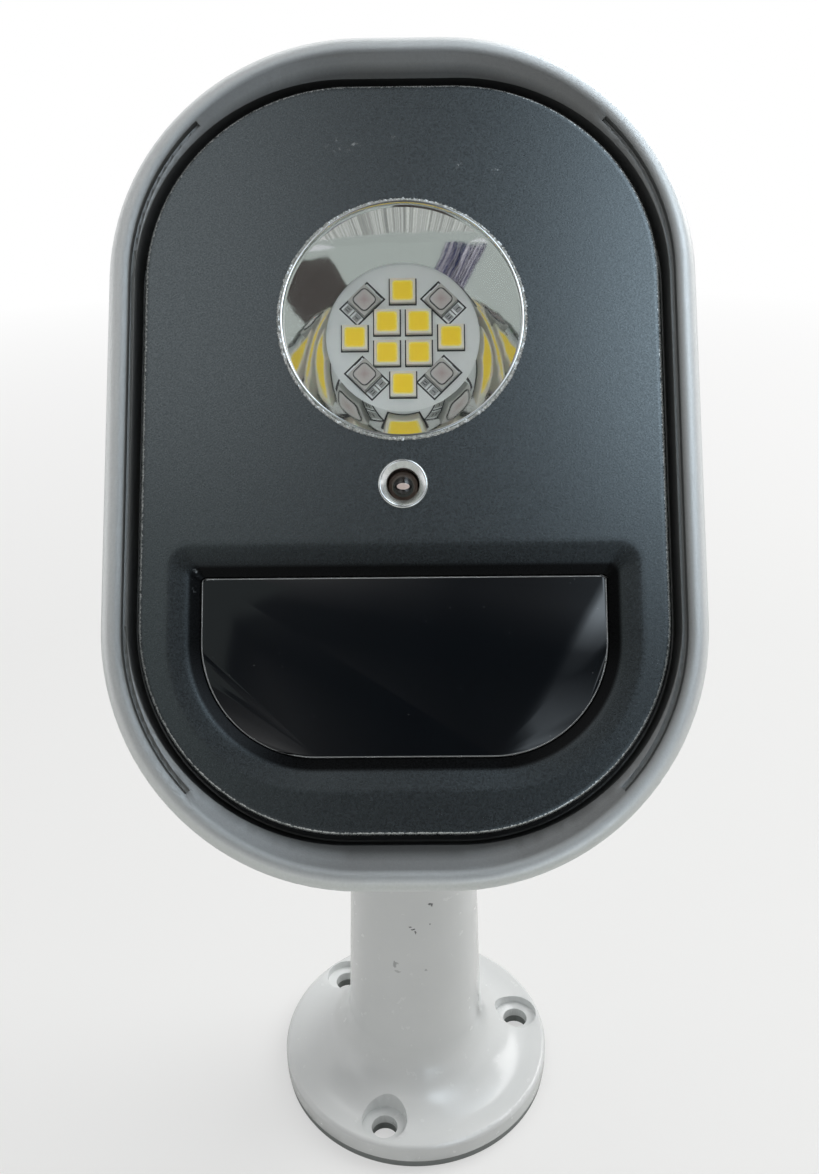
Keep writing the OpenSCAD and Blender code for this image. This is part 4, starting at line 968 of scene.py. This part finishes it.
def buildLamps(settings):
    side, height, well = settings["side"], settings["height"], settings["well"]
    z, y0, o, i, ir = [settings[key] for key in ("boardTop", "centreHeight", "outer", "inner", "ir")]
    white = [(x, y + y0, z, 0) for x, y in
             [(o, 0), (0, o), (-o, 0), (0, -o), (i, i), (-i, i), (-i, -i), (i, -i)]]
    # each infrared outline points its solder pads down and outwards or inwards, as on the board
    infrared = [(sx * ir, sy * ir + y0, z, turn) for sx, sy, turn in
                [(1, 1, -45), (-1, 1, -135), (-1, -1, -45), (1, -1, -135)]]
    wellSide, lensSide = side * settings["wellShare"], settings["irLens"]
    lensTop = height + settings["irRise"]
    phosphor = [(1.0, height - well)] + [(share, height - 0.05 + settings["crown"] * (1 - share * share))
                                         for share in settings["phosphorShares"]]
    window = [(1.0, height), (1.0, lensTop - 0.06)] + [
        (share, lensTop + lift) for share, lift in settings["windowShares"]]
    line, ink = settings["inkWidth"], settings["inkHeight"]
    # name, shape, places, finish, slot, nodes
    sets = [
        ("whiteLamps", packageMesh(side, height, wellSide, well), white,
         "lampHousingPlastic", "white_package", ["white_leds"]),
        ("lampPhosphors", crownedMesh(wellSide - 0.02, 0.34, 4, phosphor), white,
         "yellowPhosphor", "yellow_phosphor", ["led_phosphors"]),
        ("infraredLamps", packageMesh(settings["irSide"], height, lensSide - 0.1, 0.02), infrared,
         "paleLampBody", "white_package", ["ir_leds"]),
        ("infraredLenses", crownedMesh(lensSide, settings["irCorner"], 8, window), infrared,
         "clearInfraredEpoxy", "ir_window", ["ir_lenses"]),
        ("lampOutlines", barsMesh(outlineBars(*settings["whiteOutline"], line), ink), white,
         "darkBoardInk", "white_board", ()),
        ("infraredOutlines", barsMesh(outlineBars(*settings["irOutline"], line), ink), infrared,
         "darkBoardInk", "white_board", ()),
        ("solderPads", barsMesh(settings["pads"], settings["padHeight"]), infrared,
         "tinnedPad", "white_board", ()),
        ("padMarks", barsMesh(settings["marks"], settings["markHeight"]), infrared,
         "darkBoardInk", "white_board", ()),
    ]
    placeTree = buildPlaceTree()
    for name, mesh, places, finish, slotName, nodes in sets:
        holder = addObject(name + "Shape", mesh)
        grown = growMesh(name, placeTree, {"Shape": holder, "Finish": finishes[finish]}, places)
        bpy.data.objects.remove(holder)
        placeMesh(name, grown, finish, "head", nodes)


buildLamps(lamps)
print("lamps placed")


# Screws: one tree makes a cap screw with a hexagon socket from its sizes and sets it on each place. Each row:
# shank radius, length, cap radius, cap height, node, places (x, y, seat height) or None where they are read
# from the node, and True where the cap faces the front
screws = {
    "coverScrews": (1.45, 10, 2.75, 3, "cover_screws",
                    [(sx * 19.85, sy * 34.9, -18) for sx in (-1, 1) for sy in (-1, 1)], False),
    "clevisScrews": (1.5, 8.8, 2.75, 2.2, "clevis_screws", [(0, s * 12.5, -37) for s in (-1, 1)], False),
    "boardScrews": (1.25, 4.6, 2.25, 1.2, "board_screws", None, True),
    "motionScrews": (1.0, 4.6, 1.8, 1.2, "motion_screws", None, False),
    "lampScrews": (1.0, 4.2, 1.9, 1.2, "led_screws", [(s * 13.7, 14.5, -6.8) for s in (-1, 1)], True),
}
socketShare = {"radius": 0.55, "depth": 0.5}      # of the cap's radius and height
screwRounding = 0.12


def buildScrewTree():
    tree, given = startTree("capScrews", [
        ("Shank radius", "Float", 0.0015), ("Shank length", "Float", 0.008), ("Cap radius", "Float", 0.0028),
        ("Cap height", "Float", 0.002), ("Socket radius", "Float", 0.0015), ("Socket depth", "Float", 0.001),
        ("Face sign", "Float", 1.0), ("Finish", "Material", None)])
    # sides, radius, depth, and the middle's height as a share of the depth from a base; the socket's top
    # stands just over the cap, so that the cut is clean
    rods = [(28, "Shank radius", "Shank length", -0.5, 0.0), (36, "Cap radius", "Cap height", 0.5, 0.0),
            (6, "Socket radius", "Socket depth", -0.46, given["Cap height"])]
    parts = []
    for sides, radius, depth, share, base in rods:
        rod = addNode(tree, "GeometryNodeMeshCylinder", {
            "Vertices": sides, "Radius": given[radius], "Depth": given[depth]})
        middle = addNode(tree, "ShaderNodeMath", {
            "operation": "MULTIPLY_ADD", 0: given[depth], 1: share, 2: base})
        offset = addNode(tree, "ShaderNodeCombineXYZ", {"Z": middle})
        parts.append(addNode(tree, "GeometryNodeTransform", {"Geometry": rod, "Translation": offset}))
    shank, cap, socket = parts
    cut = addNode(tree, "GeometryNodeMeshBoolean", {
        "operation": "DIFFERENCE", "Mesh 1": cap, "Mesh 2": socket})
    both = addNode(tree, "GeometryNodeJoinGeometry", {0: [shank, cut]})
    # a screw whose cap faces the back is turned over
    flip = addNode(tree, "ShaderNodeMath", {
        "operation": "MULTIPLY_ADD", 0: given["Face sign"], 1: -math.pi / 2, 2: math.pi / 2})
    turns = addNode(tree, "ShaderNodeCombineXYZ", {"X": flip})
    copies = addNode(tree, "GeometryNodeInstanceOnPoints", {
        "Points": given["Geometry"], "Instance": both, "Rotation": turns})
    return endTree(tree, copies, given["Finish"])


def screwPlacesFrom(node, capHeight, toFront):
    # the seats of a node's screws, read from the box of each of its loose parts
    shape = weldedNode(node)
    shape.transform(headInverse)
    left, places = set(shape.verts), []
    while left:
        stack, group = [left.pop()], []
        while stack:
            vertex = stack.pop()
            group.append(vertex.co / mm)
            for edge in vertex.link_edges:
                other = edge.other_vert(vertex)
                if other in left:
                    left.remove(other)
                    stack.append(other)
        xs, ys, zs = zip(*group)
        seat = max(zs) - capHeight if toFront else min(zs) + capHeight
        places.append(((min(xs) + max(xs)) / 2, (min(ys) + max(ys)) / 2, seat))
    shape.free()
    return sorted(places, key=lambda place: [round(size, 2) for size in place])


def buildScrews():
    screwTree = buildScrewTree()
    for name, (shank, length, capRadius, capHeight, node, places, toFront) in screws.items():
        places = places or screwPlacesFrom(node, capHeight, toFront)
        mesh = growMesh(name, screwTree, {
            "Shank radius": shank * mm, "Shank length": length * mm, "Cap radius": capRadius * mm,
            "Cap height": capHeight * mm, "Socket radius": capRadius * socketShare["radius"] * mm,
            "Socket depth": capHeight * socketShare["depth"] * mm, "Face sign": 1.0 if toFront else -1.0,
            "Finish": finishes["platedSteel"]}, [(*p, 0) for p in places])
        roundEdges(placeMesh(name, mesh, "platedSteel", "head", [node]), screwRounding)


buildScrews()
print("screws set")


# Coil: enamelled wire wound round the core's middle leg. Radius over the wire, and the wire's own radius
winding = {"radius": 4.8, "wire": 0.19}


def buildWindingTree():
    tree, given = startTree("wireWinding", [
        ("Radius", "Float", 0.0046), ("Wire radius", "Float", 0.0002), ("Turns", "Float", 10.0),
        ("Height", "Float", 0.0038), ("Finish", "Material", None)])
    spiral = addNode(tree, "GeometryNodeCurveSpiral", {
        "Resolution": 48, "Rotations": given["Turns"], "Start Radius": given["Radius"],
        "End Radius": given["Radius"], "Height": given["Height"]})
    section = addNode(tree, "GeometryNodeCurvePrimitiveCircle", {
        "Resolution": 8, "Radius": given["Wire radius"]})
    wire = addNode(tree, "GeometryNodeCurveToMesh", {
        "Curve": spiral, "Profile Curve": section, "Fill Caps": True})
    former = addNode(tree, "GeometryNodeMeshCylinder", {
        "Vertices": 40, "Radius": given["Radius"], "Depth": given["Height"]})
    lift = addNode(tree, "ShaderNodeMath", {"operation": "MULTIPLY", 0: given["Height"], 1: 0.5})
    up = addNode(tree, "ShaderNodeCombineXYZ", {"Z": lift})
    raised = addNode(tree, "GeometryNodeTransform", {"Geometry": former, "Translation": up})
    both = addNode(tree, "GeometryNodeJoinGeometry", {0: [wire, raised]})
    copies = addNode(tree, "GeometryNodeInstanceOnPoints", {"Points": given["Geometry"], "Instance": both})
    return endTree(tree, copies, given["Finish"])


def buildWinding(settings):
    wire = settings["wire"]
    inside = [headInverse @ v.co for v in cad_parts["driver_coil"].data.vertices]
    low = Vector([min(v[i] for v in inside) for i in range(3)]) / mm
    high = Vector([max(v[i] for v in inside) for i in range(3)]) / mm
    height = high.z - low.z - 2 * wire
    mesh = growMesh("coilWinding", buildWindingTree(), {
        "Radius": (settings["radius"] - wire) * mm, "Wire radius": wire * mm, "Turns": height / (2 * wire),
        "Height": height * mm, "Finish": finishes["copperWire"]},
        [((low.x + high.x) / 2, (low.y + high.y) / 2, low.z + wire, 0)])
    placeMesh("coilWinding", mesh, "copperWire", "head", ["driver_coil"])


buildWinding(winding)
print("coil wound")


# Studio: pale floor that keeps the shadow, soft lamps, and a room that only reflections see: dim in front,
# brighter to the sides, as the room round a photographer is
studio = {
    "floorColour": "#E4E4E2", "floorShare": 0.5, "floorFade": (0.22, 0.8), "mirrorFade": (0.5, 1.4),
    "floorRadius": 6.0, "skyForObject": 0.31,
    # name, watts, size, place
    "lamps": [("windowLamp", 6.2, 0.7, (0.62, 0.30, 0.80)), ("ceilingLamp", 2.4, 0.8, (-0.15, 0.1, 1.05)),
              ("frontFill", 0.9, 0.8, (-0.55, -0.75, 0.45))],
    "aim": (0, -0.03, 0.12),
    # a narrow beam into the cup: watts, place in the head's frame and what it is aimed at, half angle in
    # degrees, how soft its edge is and its lamp's radius
    "cupBeam": (30.0, (0.02, -0.05, 0.7), (0, 0.0145, -0.0068), 1.5, 0.6, 0.05),
}
room = {
    "radius": 0.9, "height": 0.12, "side": (-70, 74), "rise": (-7, 116), "steps": (48, 40), "strength": 4.4,
    "base": 0.04, "rightTint": (0.86, 0.98, 1.08), "tintFrom": 6, "wallBehind": "#C9D0C9",
    # brightness by the angle to the right of straight in front, and by the angle up from the front and over
    "across": [(-70, 0.4), (-55, 0.07), (-32, 0.14), (-15, 0.3), (-8, 0.24), (-4, 0.09), (0, 0.02), (4, 0.04),
               (8, 0.1), (11, 0.36), (14, 0.95), (19, 1.0), (27, 0.7), (37, 0.2), (55, 0.06), (74, 0.4)],
    "upward": [(-7, 0.7), (8, 0.3), (28, 0.05), (36, 0.08), (42, 0.4), (49, 1.0), (64, 0.9), (80, 0.3),
               (100, 0.3), (116, 0.7)],
}
# plain cards that stand about the light, seen only in the chrome: name, middle, width, height, which way it
# faces, its own turn in degrees, its colour or the colours of its stripes, and the reflections that show it:
# 1 single ones, 2 the cup's double one, 0 both; in metres
cards = [
    ("stripedMat", (-0.02, -0.2, 0.002), 0.6, 0.2, (0, 0, 1), 0,
     ["#A5A7A3", "#D2D5D0", "#8C8F8B", "#DDE0DA", "#BDC0BB"], 0),
    ("duskyCard", (-0.104, -0.767, 0.32), 0.27, 0.33, (0.104, 0.717, -0.19), 0, ["#544E4A"], 2),
    ("stripedCard", (0.175, -0.69, 0.5), 0.2, 0.13, (-0.175, 0.64, -0.35), 78,
     ["#101226", "#4A4C78", "#0F1018", "#EDE6F0", "#191B33"], 2),
    ("paleScreen", (-0.26, -0.62, 0.52), 0.26, 0.28, (0.3, 0.62, -0.4), 0, ["#A4ABA8"], 1),
]
# where the stripes begin and end in the noise that folds them, where the first inner one lies and the step to
# the next, how fine the folds are and how long they run
cardStripes = {"ends": (0.36, 0.62), "inner": (0.42, 0.06), "folds": 52.0, "stretch": (1, 0.04, 1)}


def clearedTree(owner):
    owner.use_nodes = True
    owner.node_tree.nodes.clear()
    return owner.node_tree


def buildFloor(settings):
    shape = bmesh.new()
    bmesh.ops.create_circle(shape, cap_ends=True, segments=96, radius=settings["floorRadius"])
    mesh = toMesh("studioFloor", shape)
    material = bpy.data.materials.new("paleFloor")
    tree = clearedTree(material)
    place = addNode(tree, "ShaderNodeTexCoord").outputs["Object"]
    far = addNode(tree, "ShaderNodeVectorMath", {"operation": "LENGTH", 0: place})
    fades = []
    for (near, wide), least in ((settings["floorFade"], 1 - settings["floorShare"]),
                                (settings["mirrorFade"], 0.0)):
        fades.append(addNode(tree, "ShaderNodeMapRange", {
            "Value": far, "From Min": near, "From Max": wide, "To Min": least, "To Max": 1.0}))
    rays = addNode(tree, "ShaderNodeLightPath").outputs
    direct = addNode(tree, "ShaderNodeMath", {"operation": "MULTIPLY", 0: fades[0], 1: rays["Is Camera Ray"]})
    bounced = addNode(tree, "ShaderNodeMath", {
        "operation": "MAXIMUM", 0: rays["Is Glossy Ray"], 1: rays["Is Transmission Ray"]})
    mirrored = addNode(tree, "ShaderNodeMath", {"operation": "MULTIPLY", 0: fades[1], 1: bounced})
    mixBy = addNode(tree, "ShaderNodeMath", {"operation": "MAXIMUM", 0: direct, 1: mirrored})
    dull = addNode(tree, "ShaderNodeBsdfDiffuse", {"Color": hexColour(settings["floorColour"])})
    white = addNode(tree, "ShaderNodeEmission", {"Color": (1, 1, 1, 1), "Strength": 1.0})
    mix = addNode(tree, "ShaderNodeMixShader", {0: mixBy, 1: dull, 2: white})
    addNode(tree, "ShaderNodeOutputMaterial", {"Surface": mix})
    mesh.materials.append(material)
    addObject("studioFloor", mesh)


def buildWorld(settings):
    world = bpy.data.worlds.new("studioWorld")
    tree = clearedTree(world)
    rays = addNode(tree, "ShaderNodeLightPath").outputs
    straight = addNode(tree, "ShaderNodeMath", {
        "operation": "MAXIMUM", 0: rays["Is Camera Ray"], 1: rays["Is Glossy Ray"]})
    shown = addNode(tree, "ShaderNodeMath", {
        "operation": "MAXIMUM", 0: straight, 1: rays["Is Transmission Ray"]})
    strength = addNode(tree, "ShaderNodeMapRange", {
        "Value": shown, "To Min": settings["skyForObject"], "To Max": 1.0})
    sky = addNode(tree, "ShaderNodeBackground", {"Color": (1, 1, 1, 1), "Strength": strength})
    addNode(tree, "ShaderNodeOutputWorld", {"Surface": sky})
    bpy.context.scene.world = world


def addLamp(name, kind, watts, place, target, looks):
    data = bpy.data.lights.new(name, kind)
    data.energy = watts
    for key, value in looks.items():
        setattr(data, key, value)
    lamp = addObject(name, data)
    aim = (Vector(target) - Vector(place)).to_track_quat("-Z", "Y").to_matrix().to_4x4()
    lamp.matrix_world = Matrix.Translation(place) @ aim
    return lamp


def buildLights(settings):
    for name, watts, size, place in settings["lamps"]:
        addLamp(name, "AREA", watts, place, settings["aim"], {"shape": "SQUARE", "size": size})
    watts, place, target, spread, soft, radius = settings["cupBeam"]
    beam = addLamp("cupBeam", "SPOT", watts, headMatrix @ Vector(place), headMatrix @ Vector(target), {
        "spot_size": math.radians(2 * spread), "spot_blend": soft, "shadow_soft_size": radius})
    beam.visible_glossy = False


def reflectedTwice(tree):
    # 1 for what a ray sees after two or more reflections, else 0
    depth = addNode(tree, "ShaderNodeLightPath").outputs["Glossy Depth"]
    return addNode(tree, "ShaderNodeMath", {"operation": "GREATER_THAN", 0: depth, 1: 1.5})


def stageForMirrors(piece, material):
    # shown by the chrome and the gloss alone
    piece.data.materials.append(material)
    for kind in ("camera", "diffuse", "shadow", "transmission"):
        setattr(piece, "visible_" + kind, False)


def buildRoom(settings):
    left, right = settings["side"]
    down, up = settings["rise"]
    across, upward = settings["steps"]
    radius, height = settings["radius"], settings["height"]
    rows = []
    for j in range(upward + 1):
        rise = math.radians(down + (up - down) * j / upward)
        row = []
        for i in range(across + 1):
            side = math.radians(left + (right - left) * i / across)
            away = Vector((math.sin(side), -math.cos(side) * math.cos(rise), math.cos(side) * math.sin(rise)))
            row.append(away * radius + Vector((0, 0, height)))
        rows.append(row)
    shell = addObject("studioRoom", loftMesh("studioRoom", rows, False, False))
    material = bpy.data.materials.new("dimRoom")
    tree = clearedTree(material)
    place = addNode(tree, "ShaderNodeTexCoord").outputs["Object"]
    where = addNode(tree, "ShaderNodeSeparateXYZ", {0: place}).outputs
    sideShare = addNode(tree, "ShaderNodeMath", {"operation": "DIVIDE", 0: where["X"], 1: radius})
    side = addNode(tree, "ShaderNodeMath", {"operation": "ARCSINE", 0: sideShare})
    ahead = addNode(tree, "ShaderNodeMath", {"operation": "MULTIPLY", 0: where["Y"], 1: -1.0})
    lifted = addNode(tree, "ShaderNodeMath", {"operation": "SUBTRACT", 0: where["Z"], 1: height})
    rise = addNode(tree, "ShaderNodeMath", {"operation": "ARCTAN2", 0: lifted, 1: ahead})
    levels = []
    for source, start, end, key in ((side, left, right, "across"), (rise, down, up, "upward")):
        share = addNode(tree, "ShaderNodeMapRange", {
            "Value": source, "From Min": math.radians(start), "From Max": math.radians(end)})
        ramp = addNode(tree, "ShaderNodeValToRGB", {"Fac": share})
        stops = []
        for angle, level in settings[key]:
            tinted = key == "across" and settings["tintFrom"] < angle < end
            colour = [level * tint for tint in (settings["rightTint"] if tinted else (1, 1, 1))]
            stops.append(((angle - start) / (end - start), (*colour, 1)))
        setStops(ramp, stops)
        levels.append(ramp)
    both = addNode(tree, "ShaderNodeMix", {
        "data_type": "RGBA", "blend_type": "MULTIPLY", 0: 1.0, 6: levels[0], 7: levels[1]})
    lit = addNode(tree, "ShaderNodeVectorMath", {
        "operation": "MULTIPLY_ADD", 0: both, 1: (settings["strength"],) * 3, 2: (settings["base"],) * 3})
    # the cup's double reflection looks back past the camera to the pale wall behind it
    seen = addNode(tree, "ShaderNodeMix", {
        "data_type": "RGBA", 0: reflectedTwice(tree), 6: lit, 7: hexColour(settings["wallBehind"])})
    glow = addNode(tree, "ShaderNodeEmission", {"Color": seen, "Strength": 1.0})
    addNode(tree, "ShaderNodeOutputMaterial", {"Surface": glow})
    stageForMirrors(shell, material)


def buildCards(settings, stripes):
    for name, middle, width, height, facing, turn, colours, shownBy in settings:
        shape = bmesh.new()
        bmesh.ops.create_grid(shape, x_segments=1, y_segments=1, size=0.5)
        bmesh.ops.scale(shape, verts=shape.verts, vec=(width, height, 1))
        card = addObject(name, toMesh(name, shape))
        turned = Vector(facing).to_track_quat("Z", "Y").to_matrix().to_4x4()
        card.matrix_world = Matrix.Translation(middle) @ turned @ Matrix.Rotation(math.radians(turn), 4, "Z")
        material = bpy.data.materials.new(name + "Surface")
        tree = clearedTree(material)
        colour = hexColour(colours[0])
        if len(colours) > 1:
            place = addNode(tree, "ShaderNodeTexCoord").outputs["Object"]
            across = addNode(tree, "ShaderNodeVectorMath", {
                "operation": "MULTIPLY", 0: place, 1: stripes["stretch"]})
            folds = addNode(tree, "ShaderNodeTexNoise", {
                "Vector": across, "Scale": stripes["folds"], "Detail": 1.0})
            colour = addNode(tree, "ShaderNodeValToRGB", {"Fac": folds})
            (first, last), (start, step) = stripes["ends"], stripes["inner"]
            spots = [first] + [start + step * i for i in range(len(colours) - 2)] + [last]
            setStops(colour, [(spot, hexColour(code)) for spot, code in zip(spots, colours)])
        surface = addNode(tree, "ShaderNodeEmission", {"Color": colour, "Strength": 1.0})
        if shownBy:
            clear = addNode(tree, "ShaderNodeBsdfTransparent")
            once, again = (surface, clear) if shownBy == 1 else (clear, surface)
            surface = addNode(tree, "ShaderNodeMixShader", {0: reflectedTwice(tree), 1: once, 2: again})
        addNode(tree, "ShaderNodeOutputMaterial", {"Surface": surface})
        stageForMirrors(card, material)


buildFloor(studio)
buildWorld(studio)
buildLights(studio)
buildRoom(room)
buildCards(cards, cardStripes)
bpy.context.scene.view_settings.view_transform = "Standard"
print("studio built")
